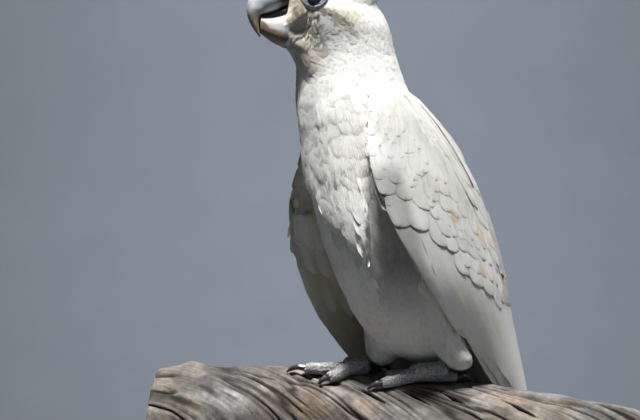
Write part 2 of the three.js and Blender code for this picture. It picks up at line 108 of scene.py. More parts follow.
def paired(a, b):
    return np.stack(np.broadcast_arrays(a, b), -1)


def turned(points, first, second, angle):
    """Points turned in the plane of two axes."""
    c, s = math.cos(angle), math.sin(angle)
    made = points.copy()
    made[:, first] = c * points[:, first] - s * points[:, second]
    made[:, second] = s * points[:, first] + c * points[:, second]
    return made


def between(rows, t):
    """Rows of a table at t, from 0 to 1, on the smooth curve that the solids follow."""
    rows = np.asarray(rows, float)
    at = np.atleast_1d(t) * (len(rows) - 1)
    i = np.clip(np.floor(at).astype(int), 0, len(rows) - 2)
    f = (at - i)[:, None]
    a, b, c, d = (rows[np.clip(i + k, 0, len(rows) - 1)] for k in (-1, 0, 1, 2))
    bend = (2 * a - 5 * b + 4 * c - d) * f**2 + (3 * b - a - 3 * c + d) * f**3
    return 0.5 * (2 * b + (c - a) * f + bend)


LATTICE = np.random.default_rng(5).uniform(-1, 1, 4096)
LAST = len(LATTICE) - 1
CELL_KEYS = np.array([73856093, 19349663, 83492791])


def keys_of(cell):
    """A number for each cell of a lattice, unlike its neighbours'."""
    x, y, z = (cell * CELL_KEYS).T
    return x ^ y ^ z


def noise(points, size, seed=0):
    """Smooth noise from -1 to 1 over points, with lumps of that size."""
    q = points / size + 13.7 * seed
    cell = np.floor(q).astype(np.int64)
    f = q - cell
    f = f * f * (3 - 2 * f)
    total = np.zeros(len(points))
    for corner in np.ndindex(2, 2, 2):
        weight = np.where(corner, f, 1 - f).prod(axis=1)
        total += weight * LATTICE[(keys_of(cell + corner) + seed * 977) & LAST]
    return total


def cells(points, size, seed=0):
    """Distances to the nearest and next nearest of scattered points, in units of their spacing."""
    q = points / size + 31.1 * seed
    cell = np.floor(q).astype(np.int64)
    nearest, second = np.full((2, len(points)), 9.0)
    for step in np.ndindex(3, 3, 3):
        c = cell + step - 1
        key = keys_of(c)
        jitter = np.stack([LATTICE[(key + k) & LAST] for k in (1, 1201, 2503)], 1)
        away = np.linalg.norm(c + 0.5 + 0.42 * jitter - q, axis=1)
        second = np.where(away < nearest, nearest, np.minimum(second, away))
        nearest = np.minimum(nearest, away)
    return nearest, second


# ---- Materials -------------------------------------------------------------------------------


def srgb(*levels):
    """A linear colour from sRGB levels out of 255."""
    return np.array([((v / 255 + 0.055) / 1.055) ** 2.4 if v > 10 else v / 3294 for v in levels])


class Nodes:
    """A new material, and short ways to add nodes to it."""

    def __init__(self, name, **settings):
        self.material = bpy.data.materials.new(name)
        self.material.use_nodes = True
        self.tree = self.material.node_tree
        self.shader = next(n for n in self.tree.nodes if n.type == "BSDF_PRINCIPLED")
        for key, value in settings.items():
            self.shader.inputs[key.replace("_", " ")].default_value = value

    def set(self, socket, value):
        if isinstance(value, bpy.types.NodeSocket):
            self.tree.links.new(value, socket)
        else:
            socket.default_value = value

    def add(self, kind, inputs, **settings):
        made = self.tree.nodes.new("ShaderNode" + kind)
        for key, value in settings.items():
            setattr(made, key, value)
        for key, value in inputs.items():
            self.set(made.inputs[key], value)
        return made

    def math(self, operation, a, b=0.0):
        return self.add("Math", {0: a, 1: b}, operation=operation).outputs[0]

    def noise(self, scale, detail=3.0, roughness=0.5, vector=None):
        if vector is None:
            vector = self.add("TexCoord", {}).outputs["Object"]
        inputs = {"Vector": vector, "Scale": scale, "Detail": detail, "Roughness": roughness}
        return self.add("TexNoise", inputs).outputs["Fac"]

    def stretched(self, scale):
        """Object coordinates, stretched by a scale on each axis."""
        coordinates = self.add("TexCoord", {}).outputs["Object"]
        return self.add("Mapping", {"Vector": coordinates, "Scale": scale}).outputs[0]

    def ramp(self, value, *stops):
        """A colour between two or more of (place, colour)."""
        made = self.add("ValToRGB", {"Fac": value})
        while len(made.color_ramp.elements) < len(stops):
            made.color_ramp.elements.new(0.5)
        for element, (place, colour) in zip(made.color_ramp.elements, stops):
            element.position = place
            element.color = (*colour, 1)
        return made.outputs["Color"]

    def grey(self, value, low, high):
        """A value's middle stretch, from 0.3 to 0.7, as a number from low to high."""
        inputs = {"Value": value, "From Min": 0.3, "From Max": 0.7, "To Min": low, "To Max": high}
        return self.add("MapRange", inputs).outputs[0]

    def shaded(self, colour, value, low, high):
        """A colour times the grey of a value."""
        shade = self.grey(value, low, high)
        grey = self.add("CombineColor", {0: shade, 1: shade, 2: shade}).outputs[0]
        inputs = {0: 1.0, 6: colour, 7: grey}
        return self.add("Mix", inputs, data_type="RGBA", blend_type="MULTIPLY").outputs[2]

    def tinted(self, low, high, scale, detail=3.0):
        """The colour that the mesh carries, made a little lighter and darker by noise."""
        tint = self.add("Attribute", {}, attribute_name="tint").outputs["Color"]
        return self.shaded(tint, self.noise(scale, detail), low, high)

    def bump(self, height, strength, distance):
        inputs = {"Height": height, "Strength": strength, "Distance": distance}
        return self.add("Bump", inputs).outputs[0]

    def finish(self, colour, roughness=None, normal=None):
        for name, value in (("Base Color", colour), ("Roughness", roughness), ("Normal", normal)):
            if value is not None:
                self.tree.links.new(value, self.shader.inputs[name])
        return self.material


def grained(name, grain, tone, roughness, bump, **settings):
    """The mesh's own tint, varied in tone, with a fine grain that roughens and dents it."""
    n = Nodes(name, **settings)
    fine = n.noise(*grain)
    return n.finish(n.tinted(*tone), n.grey(fine, *roughness), n.bump(fine, *bump))


def vane_material(name, streaks, roughness):
    """Feathers: barbs run out and forward from the shaft, as the vane map gives in millimetres."""
    n = Nodes(name, Specular_IOR_Level=0.25, Sheen_Weight=0.15, Sheen_Roughness=0.5)
    vane = n.add("UVMap", {}, uv_map="Vane").outputs[0]
    parts = n.add("SeparateXYZ", {0: vane})
    aside = n.math("ABSOLUTE", parts.outputs[1])
    barb = n.math("SUBTRACT", parts.outputs[0], n.math("MULTIPLY", aside, 0.9))
    along = {0: n.math("MULTIPLY", barb, 1.5), 1: n.math("MULTIPLY", aside, 0.25)}
    barbs = n.noise(1.0, 4.0, 0.65, n.add("CombineXYZ", along).outputs[0])
    colour = n.shaded(n.tinted(0.94, 1.0, 260), barbs, 1 - streaks, 1.0)
    rough = n.grey(barbs, roughness - 0.08, roughness + 0.08)
    return n.finish(colour, rough, n.bump(barbs, 0.35, 0.0004))


# ---- Meshes ----------------------------------------------------------------------------------


def linked(name, data):
    obj = bpy.data.objects.new(name, data)
    bpy.context.scene.collection.objects.link(obj)
    return obj


def make_mesh(name, points, quads, triangles, material, tint=None, maps=None, crease=None):
    """A mesh from arrays in millimetres, with colours and UV maps of its points."""
    quads = np.asarray(quads, np.int64).reshape(-1, 4)
    triangles = np.asarray(triangles, np.int64).reshape(-1, 3)
    corners = np.concatenate([quads.ravel(), triangles.ravel()])
    starts = np.concatenate(
        [4 * np.arange(len(quads)), 4 * len(quads) + 3 * np.arange(len(triangles))]
    )
    mesh = bpy.data.meshes.new(name)
    mesh.vertices.add(len(points))
    mesh.vertices.foreach_set("co", to_row(points).astype(np.float32).ravel())
    mesh.loops.add(len(corners))
    mesh.loops.foreach_set("vertex_index", corners.astype(np.int32))
    mesh.polygons.add(len(starts))
    mesh.polygons.foreach_set("loop_start", starts.astype(np.int32))
    mesh.update(calc_edges=True)
    mesh.polygons.foreach_set("use_smooth", np.ones(len(starts), bool))
    if crease:
        mesh.set_sharp_from_angle(angle=math.radians(crease))
    for map_name, values in (maps or {}).items():
        layer = mesh.uv_layers.new(name=map_name)
        layer.data.foreach_set("uv", values[corners].astype(np.float32).ravel())
    if tint is not None:
        set_tint(mesh, tint)
    mesh.materials.append(material)
    return linked(name, mesh)


def set_tint(mesh, tint):
    layer = mesh.color_attributes.new("tint", "FLOAT_COLOR", "POINT")
    values = np.ones((len(tint), 4), np.float32)
    values[:, :3] = tint
    layer.data.foreach_set("color", values.ravel())


def set_material(obj, material):
    obj.data.materials.clear()
    obj.data.materials.append(material)


def vectors_of(mesh, attribute):
    values = np.zeros(len(mesh.vertices) * 3, np.float32)
    mesh.vertices.foreach_get(attribute, values)
    return values.reshape(-1, 3)


def points_of(mesh):
    return vectors_of(mesh, "co") / MM - ORIGIN


def normals_of(mesh):
    return vectors_of(mesh, "normal").astype(float)


def triangles_of(mesh):
    mesh.calc_loop_triangles()
    index = np.zeros(len(mesh.loop_triangles) * 3, np.int32)
    mesh.loop_triangles.foreach_get("vertices", index)
    return index.reshape(-1, 3)


def remeshed(name, node_names, voxel, smoothing):
    """One closed mesh round some of the CAD's solids, as a new object."""
    shell = bmesh.new()
    for node in node_names:
        shell.from_mesh(NODES[node].data)
    bmesh.ops.remove_doubles(shell, verts=shell.verts, dist=1e-6)
    mesh = bpy.data.meshes.new(name)
    shell.to_mesh(mesh)
    shell.free()
    obj = linked(name, mesh)
    voxels = obj.modifiers.new("voxels", "REMESH")
    voxels.mode = "VOXEL"
    voxels.voxel_size = voxel * MM
    soften = obj.modifiers.new("soften", "SMOOTH")
    soften.factor = 0.5
    soften.iterations = smoothing
    bpy.context.view_layer.update()
    made = bpy.data.meshes.new_from_object(obj.evaluated_get(bpy.context.evaluated_depsgraph_get()))
    obj.modifiers.clear()
    obj.data = made
    made.name = name
    made.polygons.foreach_set("use_smooth", np.ones(len(made.polygons), bool))
    return obj


def moved(obj, points):
    obj.data.vertices.foreach_set("co", to_row(points).astype(np.float32).ravel())
    obj.data.update()


def tree_of(*objects):
    """A tree of the objects' triangles, in millimetres, to find the nearest surface."""
    points, faces, count = [], [], 0
    for obj in objects:
        points.append(points_of(obj.data))
        faces.append(triangles_of(obj.data) + count)
        count += len(points[-1])
    return BVHTree.FromPolygons(np.concatenate(points).tolist(), np.concatenate(faces).tolist())


def ring_faces(rings, count):
    """Faces between rings of points, each ring count long."""
    index = np.arange(rings * count).reshape(rings, count)
    nxt = np.roll(index, -1, axis=1)
    return np.stack([index[:-1], nxt[:-1], nxt[1:], index[1:]], -1).reshape(-1, 4)


def closed_tube(rings, count):
    """Faces of a tube of rings, with a fan over each end."""
    index = np.arange(rings * count).reshape(rings, count)
    nxt = np.roll(index, -1, axis=1)
    first, last = rings * count, rings * count + 1
    fans = [(first, nxt[0, j], index[0, j]) for j in range(count)]
    fans += [(last, index[-1, j], nxt[-1, j]) for j in range(count)]
    return ring_faces(rings, count), np.array(fans)


def outward(points, quads, triangles):
    """The faces, turned round where they face inwards."""
    p = points[quads]
    normals = np.cross(p[:, 2] - p[:, 0], p[:, 3] - p[:, 1])
    if np.sum(normals * (p.mean(1) - points.mean(0))) > 0:
        return quads, triangles
    return quads[:, ::-1], triangles[:, ::-1]


# ---- Shapes repeated from the part's source --------------------------------------------------

# Body: [up, back, half width, half depth]
BODY = [
    [4, 21, 8, 11], [11, 17, 17, 28], [25, 9, 25, 42], [44, 2, 35, 51], [74, -7.5, 41, 56.5],
    [104, -17.5, 43, 55.5], [130, -26.5, 42, 51.5], [148, -34, 40.5, 47], [164, -41, 38, 43.5],
    [180, -46.5, 35, 39.5], [194, -50, 33, 36], [208, -53.5, 31.5, 34.5], [222, -58, 31, 34],
    [234, -63, 28, 32], [242, -68, 21, 25],
]  # fmt: skip

# Wing: [up, leading edge aside, back, trailing edge aside, back, bulge outwards, thickness]
WING = [
    [186, 28, -44, 23, -32, 1, 3], [182, 34, -53, 19, -15, 5, 7], [172, 40, -62, 16.5, 0.5, 9, 9],
    [150, 42.5, -64.5, 12, 27, 13, 10], [126, 46, -64, 9, 46.5, 16, 10],
    [103, 49, -55.5, 6, 59, 16, 9], [80, 51, -42.5, 4.5, 68.5, 15, 8],
    [58, 50, -25.6, 5, 74, 13, 7], [38, 44, -4.8, 4, 79, 11, 6], [16, 35, 22, 4, 85, 8, 5],
    [-4, 28.5, 44, 4.5, 90, 5, 4], [-18, 21, 62, 5, 93, 3.5, 3.5], [-34, 16, 78, 6, 97, 2, 3],
    [-52, 13, 90, 7, 100, 1, 2.4], [-62, 11, 97, 9, 101.5, 0.3, 1.6],
]  # fmt: skip
SHOULDER = np.array([30.0, -45.0, 165.0])
WING_POSES = {"left": (0.0, 0.0, (0, 0, 0)), "right": (7.5, 5.0, (0, 6, -18))}
SIDES = {"left": 1, "right": -1}

WING_STATIONS = np.linspace(0, 1, 600)
WING_HEIGHTS = between(WING, WING_STATIONS)[:, 0]


def wing_row(up):
    return between(WING, np.interp(-np.asarray(up, float), -WING_HEIGHTS, WING_STATIONS))


def bulge(row, across):
    """How far a wing's outer face stands out from the line between its edges."""
    return row[:, 5] * np.sin(math.pi * np.clip(across, 0, 1) ** 0.85)


def thickness(row, across):
    return row[:, 6] * np.sin(math.pi * np.clip(across, 0.04, 0.96)) ** 0.5


def wing_surface(side, under, across, up, raised):
    """Points of a wing's outer or under face, from its leading edge at 0 to its trailing at 1."""
    row = wing_row(up.ravel())
    t = across.ravel()
    lead, chord = row[:, 1:3], row[:, 3:5] - row[:, 1:3]
    outwards = unit(np.stack([chord[:, 1], -chord[:, 0]], 1))
    out = bulge(row, t)
    if under:
        out = out - thickness(row, t) - raised.ravel()
    else:
        out = out + raised.ravel()
    flat = lead + chord * t[:, None] + outwards * out[:, None]
    return posed_wing(side, np.column_stack([flat, up.ravel()])).reshape(*across.shape, 3)


def posed_wing(side, points):
    """Points of the left wing, as it is drawn above, moved to where a side's wing is held."""
    droop, spread, shift = WING_POSES[side]
    drooped = turned(points - SHOULDER, 1, 2, -math.radians(droop))
    held = turned(drooped, 0, 2, math.radians(spread))
    return (held + SHOULDER + shift) * [SIDES[side], 1, 1]


def in_wing(points):
    """Points' places on the wing of their side: across, up, and how far off its outer face."""
    found = np.zeros((len(points), 3))
    for side, hand in SIDES.items():
        mine = points[:, 0] * hand >= 0
        droop, spread, shift = WING_POSES[side]
        held = points[mine] * [hand, 1, 1] - SHOULDER - shift
        drooped = turned(held, 0, 2, -math.radians(spread))
        p = turned(drooped, 1, 2, math.radians(droop)) + SHOULDER
        row = wing_row(p[:, 2])
        lead, chord = row[:, 1:3], row[:, 3:5] - row[:, 1:3]
        length = np.linalg.norm(chord, axis=1)
        away = p[:, :2] - lead
        across = np.sum(away * chord, 1) / length**2
        off = (away[:, 0] * chord[:, 1] - away[:, 1] * chord[:, 0]) / length
        found[mine] = np.stack([across, p[:, 2], off - bulge(row, across)], 1)
    return found.T


# ---- Markings --------------------------------------------------------------------------------

WHITE = srgb(238, 238, 235)
# [head forward, aside, up], radius, colour, strength
FACE_MARKS = [
    ((14, 12, 1), (6, 9, 8), srgb(190, 128, 94), 0.9),
    ((9, 16, -9), (7, 8, 6), srgb(190, 158, 130), 0.8),
    ((6, 14, -19), (10, 9, 9), srgb(186, 170, 150), 0.75),
    ((-16, 23, -12), (12, 12, 8), srgb(208, 206, 182), 0.75),
    # The chin's grey-brown is partly dirt and partly painted shade from the head's shadow on the
    # throat.
    ((5, 9, -35), (12, 13, 11), srgb(136, 124, 102), 0.85),
    ((10, 0, 20), (8, 9, 8), srgb(214, 178, 150), 0.45),
]
# [head forward, up] of the dark streaks that fan back under the eye: from, to, half width, strength
FACE_STREAKS = [
    ((2, -11.5), (-8, -14.5), 1.3, 0.95),
    ((-3, -12.5), (-16, -19), 2.6, 0.9),
    ((-8, -17), (-22, -23), 3.0, 0.5),
    ((9, -4), (6, -13), 1.0, 0.8),
]
# [wing across, up], radii, colour, strength
WING_MARKS = [
    ((0.43, 100), (6, 4.5), srgb(208, 182, 138), 1.0),
    ((0.6, 104), (8, 7), srgb(220, 212, 196), 0.6),
    ((0.7, 90), (6, 8), srgb(210, 188, 146), 0.85),
    ((0.54, 66), (5, 4), srgb(204, 172, 122), 0.95),
    ((0.48, 30), (8, 7), srgb(206, 190, 158), 0.6),
    ((0.4, 118), (9, 7), srgb(216, 212, 200), 0.5),
    ((0.24, 52), (10, 8), srgb(214, 208, 192), 0.5),
    ((0.8, 66), (7, 6), srgb(222, 208, 180), 0.5),
]
# Where the scapulars end over the wing's rear edge: [across, up]
SCAPULAR_EDGE = np.array([(0.7, 158), (0.76, 140), (0.83, 131), (0.84, 121), (0.84, 106), (0.9, 96),
                          (0.93, 77)])  # fmt: skip
# Where the covert rows give way to loose scapulars: [across, up]
SOFT_EDGE = np.array([(-0.1, 186), (0.0, 172), (0.26, 156), (0.36, 138), (0.47, 116), (0.6, 101),
                      (0.84, 84), (1.05, 70)])  # fmt: skip


def scapular_edge(up):
    return np.interp(-up, -SCAPULAR_EDGE[:, 1], SCAPULAR_EDGE[:, 0])


def soft_edge(up):
    return np.interp(-up, -SOFT_EDGE[:, 1], SOFT_EDGE[:, 0])


def wing_marking(points, colour, dirt):
    """The wings' stains and worn feathers, with painted shade and painted shadow lines, over a
    colour.
    """
    across, up, off = in_wing(points)
    on = window(off, -4.5, 2, 4, 1.5) * window(across, -0.08, 0.06, 1.1, 0.06)
    on *= ease((188 - up) / 8)
    for (middle, level), (wide, tall), stain, strength in WING_MARKS:
        away = ((across - middle) * 100 / wide) ** 2 + ((up - level) / tall) ** 2
        colour = blend(colour, stain, on * strength * np.exp(-(away**2)) * (0.6 + 0.4 * dirt))

    # The loose scapulars are mottled, and the rim behind them is lilac past a brown line of painted
    # shadow; the wing's rear edge is darker brown, partly buff staining and partly painted shadow.
    streaks = noise(points * [1, 1, 0.45], 3.4, 22) + 0.6 * noise(points * [1, 1, 0.6], 7.5, 23)
    loose_part = ease((across - soft_edge(up)) / 0.12) * ease((up - 66) / 16)
    mottle = on * loose_part * (0.3 + 0.5 * ease(0.5 + 1.1 * streaks))
    colour = blend(colour, srgb(204, 206, 196), mottle)
    past = across - scapular_edge(up)
    rim = on * ease((past - 0.005) / 0.012) * window(up, 60, 10, 165, 10)
    colour = blend(colour, srgb(214, 208, 212), 0.5 * rim)
    line = bell(past, -0.004, 0.013) * window(up, 72, 10, 150, 12)
    brown = 0.8 * on * line + 0.4 * on * ease((across - 0.965) / 0.02) * ease((up - 30) / 30)
    colour = blend(colour, srgb(158, 132, 100), brown)

    # The coverts are greyed, most of all in the wing's middle, and the wing darkens towards its
    # lower part: partly worn grey plumage, partly painted shade.
    middle = ease((across + 0.02) / 0.14) * window(up, 62, 30, 176, 30)
    middle *= 1 - 0.55 * ease((across - 0.5) / 0.35)
    worn = (1.2 * middle + 0.35 * ease((90 - up) / 60)) * on
    worn = worn * (0.88 + 0.2 * noise(points, 12.0, 21))
    colour = colour * (1 - worn[:, None] * np.array([0.24, 0.235, 0.23]))

    # The under face is a darker yellow, partly a yellow wash of its own and partly painted shade,
    # but for the far wing's tuft.
    deep = thickness(wing_row(up), across)
    inner = ease((-0.55 * deep - off) / 1.5) * ease((deep + 1.3 + off) / 0.8)
    inner = inner * window(across, -0.02, 0.06, 1.06, 0.06) * ease((150 - up) / 20)
    tuft = (points[:, 0] < 0) * np.exp(-(((up - 106) / 14) ** 4)) * ease((0.2 - across) / 0.06)
    return blend(colour, srgb(196, 190, 158), 0.9 * inner * (1 - tuft))


def marking(points):
    """The plumage's colour at points, with painted shade on the breast, the belly, the chin and the
    wings.
    """
    colour = np.tile(WHITE, (len(points), 1))
    cream = 0.5 + 0.5 * noise(points, 23.0, 3)
    colour *= 1 - cream[:, None] * np.array([0.008, 0.016, 0.045])

    # Painted shade on the breast's lower edge, in the gap beside it and on the belly under it.
    level = points[:, 2]
    above, turn = above_edge(points)
    shade = 0.3 * ease((116 - level) / 24) * window(turn, -20, 12, 34, 20) * ease((above + 2) / 3)
    gap = 0.45 * ease((0.3 - above) / 1.6) * window(turn, 20, 8, 72, 8)
    gap *= window(level, 36, 44, 136, 14)
    belly = 0.14 * ease((-above - 1) / 3) * ease((100 - level) / 20)
    colour *= 1 - (shade + gap + belly)[:, None]

    forward, aside, up = in_head(points)
    out = np.abs(aside)
    dirt = ease(0.5 + noise(points, 5.0, 4) + 0.6 * noise(points, 2.2, 9))
    place = np.stack([forward, out, up], 1)
    for middle, spread, mark, strength in FACE_MARKS:
        away = np.sum(((place - middle) / spread) ** 2, axis=1)
        colour = blend(colour, mark, strength * np.exp(-(away**1.5)) * (0.75 + 0.25 * dirt))
    for start, end, half, strength in FACE_STREAKS:
        run = np.array(end, float) - start
        ahead, over = forward - start[0], up - start[1]
        share = np.clip((ahead * run[0] + over * run[1]) / (run @ run), 0, 1)
        away = np.hypot(ahead - share * run[0], over - share * run[1])
        broken = 0.78 + 0.3 * noise(points, 1.8, 19)
        weight = strength * bell(away, 0, half) * broken * ease((out - 5) / 5)
        colour = blend(colour, srgb(78, 68, 50), weight)
    from_eye = np.stack([forward, out - EYE_ASIDE, up * np.where(up > 0, 1.25, 1)], 1)
    colour = blend(colour, srgb(86, 92, 108), ease((9.2 - np.linalg.norm(from_eye, axis=1)) / 0.8))
    return wing_marking(points, colour, dirt)


# ---- The lie of the coat ---------------------------------------------------------------------

BODY_UPS = np.array([row[0] for row in BODY], float)
BODY_BACKS = np.array([row[1] for row in BODY], float)
BILL_ROOT = head_point(20, 0, -8)


def body_flow(points):
    """Which way the feathers lie: away from the bill over the head, then down the body."""
    up = np.clip(points[:, 2], 6, 240)
    slope = (np.interp(up - 6, BODY_UPS, BODY_BACKS) - np.interp(up + 6, BODY_UPS, BODY_BACKS)) / 12
    down = unit(np.stack([0 * up, slope, -np.ones(len(up))], 1))
    away = points - BILL_ROOT
    distance = np.linalg.norm(away, axis=1)
    on_head = 1 - ease((distance - 38) / 30)
    on_head *= ease((points[:, 2] - 175) / 25)
    return unit(unit(away) * on_head[:, None] + down * (1 - on_head[:, None]))


# The breast's feathers hang over the belly in a point on each side: [degrees round the body from
# the front towards its left, height of their lower edge].
HANG_EDGE = np.array([(-64, 150), (-46, 140), (-28, 127), (-15, 117), (-5, 106), (3.5, 93),
                      (11, 87), (18, 81), (22, 74), (25.5, 67), (28, 70), (32, 84), (37, 103),
                      (41, 119), (48, 139), (56, 156), (64, 162)], float)  # fmt: skip
MM_PER_DEGREE = 0.85  # round the body, at the breast
HANG_SLOPE = np.gradient(HANG_EDGE[:, 1], HANG_EDGE[:, 0] * MM_PER_DEGREE)
FLAP = 3.2  # how far the breast's lowest feathers hang clear of the solids
STEP = 2.4  # how far the belly lies under the breast's edge


def above_edge(points):
    """How far points lie over the breast's edge along the skin, and degrees round the body."""
    back = np.interp(points[:, 2], BODY_UPS, BODY_BACKS)
    turn = np.degrees(np.arctan2(points[:, 0], -(points[:, 1] - back)))
    above = points[:, 2] - np.interp(turn, HANG_EDGE[:, 0], HANG_EDGE[:, 1])
    return above / np.hypot(1, np.interp(turn, HANG_EDGE[:, 0], HANG_SLOPE)), turn


def coat_depth(points):
    """How far the skin lies inside the solids, which reach out to the tips of the coat."""
    forward, _, _ = in_head(points)
    above, turn = above_edge(points)
    level, out = points[:, 2], np.abs(turn)
    low = window(level, 22, 30, 168, 25)
    step = STEP * ease((3 - above) / 5) * ease((50 - out) / 12) * low
    side_gap = STEP * ease((2 - above) / 4.5) * ease((out - 26) / 6) * ease((70 - out) / 10)
    side_gap *= ease((138 - level) / 16) * low
    swell = 1.7 * bell(out, 15, 20) * bell(level, 128, 26)
    hangs = ease((126 - level) / 46) * ease((turn + 17) / 28)
    hangs = hangs * ease((48 - turn) / 6) * ease((above + 1) / 4)
    lobes = noise(points / [1, 1, 1.2], 12.0, 14) + 0.5 * noise(points, 7.0, 15)
    swell = swell + FLAP * hangs + 0.5 * lobes * ease((above + 2) / 6) * ease((200 - level) / 25)
    depth = 2.1 - 1.1 * ease((level - 200) / 25)
    face = 0.5 * ease((forward - 2) / 10) * ease((level - 205) / 20)
    on_tail = ease((points[:, 1] - 42) / 14) * ease((30 - level) / 40)
    bill = 2.2 * ease((forward - 11) / 4) * ease((level - 222) / 8)
    return depth - face + bill - 1.3 * on_tail + np.maximum(step, side_gap) - swell


# ---- Feathers --------------------------------------------------------------------------------


def feather_faces(count, rows, columns):
    """Faces of closed vanes, each a grid of points with its two edges joined below."""
    grid = np.arange(rows * columns).reshape(rows, columns)
    quads = [
        (grid[r, c], grid[r + 1, c], grid[r + 1, c + 1], grid[r, c + 1])
        for r in range(rows - 1)
        for c in range(columns - 1)
    ]
    quads += [(grid[r, 0], grid[r, -1], grid[r + 1, -1], grid[r + 1, 0]) for r in range(rows - 1)]
    ends = [(grid[0, 0], grid[0, c], grid[0, c + 1]) for c in range(1, columns - 1)]
    ends += [(grid[-1, 0], grid[-1, c + 1], grid[-1, c]) for c in range(1, columns - 1)]
    return repeated(quads, count, rows * columns), repeated(ends, count, rows * columns)


def repeated(faces, count, points):
    """Faces of one piece, repeated for a count of pieces that each have so many points."""
    start = (np.arange(count) * points)[:, None, None]
    return (np.array(faces)[None] + start).reshape(-1, len(faces[0]))


# A barb: two stations of three points, and its tip.
BARB_QUADS = [(0, 3, 4, 1), (1, 4, 5, 2), (0, 2, 5, 3)]
BARB_TRIANGLES = [(3, 6, 4), (4, 6, 5), (3, 5, 6), (0, 1, 2)]
BARB_POINTS = 7
BARB_STATIONS = [0, 0, 0, 1, 1, 1, 2]

PATCH = 0.003  # across, of each feather's own place on the map that is baked
BARB_PATCH = np.array([(-0.5, -0.5), (0, -0.5), (0.5, -0.5), (-0.5, 0.2), (0, 0.2), (0.5, 0.2),
                       (0, 0.5)])  # fmt: skip


def on_map(across, up):
    """Places on the map that is baked, from shares of its width and height."""
    return 0.01 + 0.98 * np.stack([across, up], 1)


def coat_piece(name, batches, material):
    """One object from batches of feathers: grids of points, vane maps, places and colours."""
    points, quads, triangles, vane, bake, tint, count = [], [], [], [], [], [], 0
    for grid, vane_map, places, colours in batches:
        n, rows, columns = grid.shape[:3]
        if columns == 1:
            q, t = repeated(BARB_QUADS, n, rows), repeated(BARB_TRIANGLES, n, rows)
            patch = BARB_PATCH[:, None] * PATCH
        else:
            q, t = feather_faces(n, rows, columns)
            u, v = np.linspace(-0.5, 0.5, rows)[:, None], np.linspace(-0.5, 0.5, columns)
            patch = paired(v, u) * PATCH
        quads.append(q + count)
        triangles.append(t + count)
        points.append(grid.reshape(-1, 3))
        vane.append(vane_map.reshape(-1, 2))
        bake.append((places[:, None, None, :] + patch).reshape(-1, 2))
        tint.append(colours.reshape(-1, 3))
        count += n * rows * columns
    joined = np.concatenate
    maps = {"OFBake": joined(bake), "Vane": joined(vane)}
    obj = make_mesh(
        name, joined(points), joined(quads), joined(triangles), material, joined(tint), maps, 50
    )
    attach(obj, "root")
    return obj


def spread_out(points, gaps):
    """Which of the points to keep so that none has an earlier one within its gap."""
    cell = float(gaps.max())
    near = [(x, y, z) for x in (-1, 0, 1) for y in (-1, 0, 1) for z in (-1, 0, 1)]
    taken, keep = {}, []
    for i, (p, g) in enumerate(zip(points.tolist(), (gaps * gaps).tolist())):
        x, y, z = (int(v // cell) for v in p)
        others = (q for a, b, c in near for q in taken.get((x + a, y + b, z + c), ()))
        if all((p[0] - q[0]) ** 2 + (p[1] - q[1]) ** 2 + (p[2] - q[2]) ** 2 >= g for q in others):
            taken.setdefault((x, y, z), []).append(p)
            keep.append(i)
    return keep


def scattered(wanted, spacing, seed):
    """Roots spread over some triangles of the skin, so far apart as a function of place says."""
    draw = np.random.default_rng(seed)
    corner = skin_points[skin_faces[wanted]]
    first, second = corner[:, 1] - corner[:, 0], corner[:, 2] - corner[:, 0]
    area = np.linalg.norm(np.cross(first, second), axis=1) / 2
    gap = spacing(corner.mean(1))
    share = area / gap**2
    tries = int(share.sum() * 4.5)
    pick = draw.choice(len(corner), tries, p=share / share.sum())
    a, b = draw.random((2, tries))
    flip = a + b > 1
    a, b = np.where(flip, 1 - a, a), np.where(flip, 1 - b, b)
    at = corner[pick, 0] + first[pick] * a[:, None] + second[pick] * b[:, None]
    return at[spread_out(at, gap[pick])]


def marched(tree, roots, flow, lengths, steps):
    """Lines over the skin from the roots, the way the coat lies: points and outward directions."""
    line, outwards = [], []
    p, direction, normal = roots, flow, None
    for step in range(steps + 1):
        found = [tree.find_nearest(Vector(q)) for q in p.tolist()]
        on = np.array([f[0] for f in found], float)
        n = np.array([f[1] for f in found], float)
        off = (np.linalg.norm(on - p, axis=1) > OFF_SKIN)[:, None] & (step > 0)
        normal = n if normal is None else normal
        normal = unit(np.where(off, normal, normal * 0.5 + n))
        p = np.where(off, p, on)
        direction = unit(direction - normal * np.sum(direction * normal, 1, keepdims=True))
        line.append(p)
        outwards.append(normal)
        p = p + direction * (lengths / steps)[:, None]
    return np.stack(line, 1), np.stack(outwards, 1)


SUNK = 0.3  # how far a feather's root lies under the skin
OFF_SKIN = 1.5  # past the skin's edge, a feather goes straight on
REACH = 1.2  # how far a loose feather's barbs reach, as a share of its vane's length
SOFT_STATIONS = 7
CLIMB_AT, CLIMB = [0, 0.25, 0.5, 0.8, 1.0, 1.2], [0, 0.45, 0.85, 1.0, 0.85, 0.4]  # rise and droop
SOFT_ROWS = np.array([0, 0.4, 0.68, 0.88, 1.0])
SOFT_HALF = np.array([0.5, 0.95, 1.0, 0.82, 0.4])


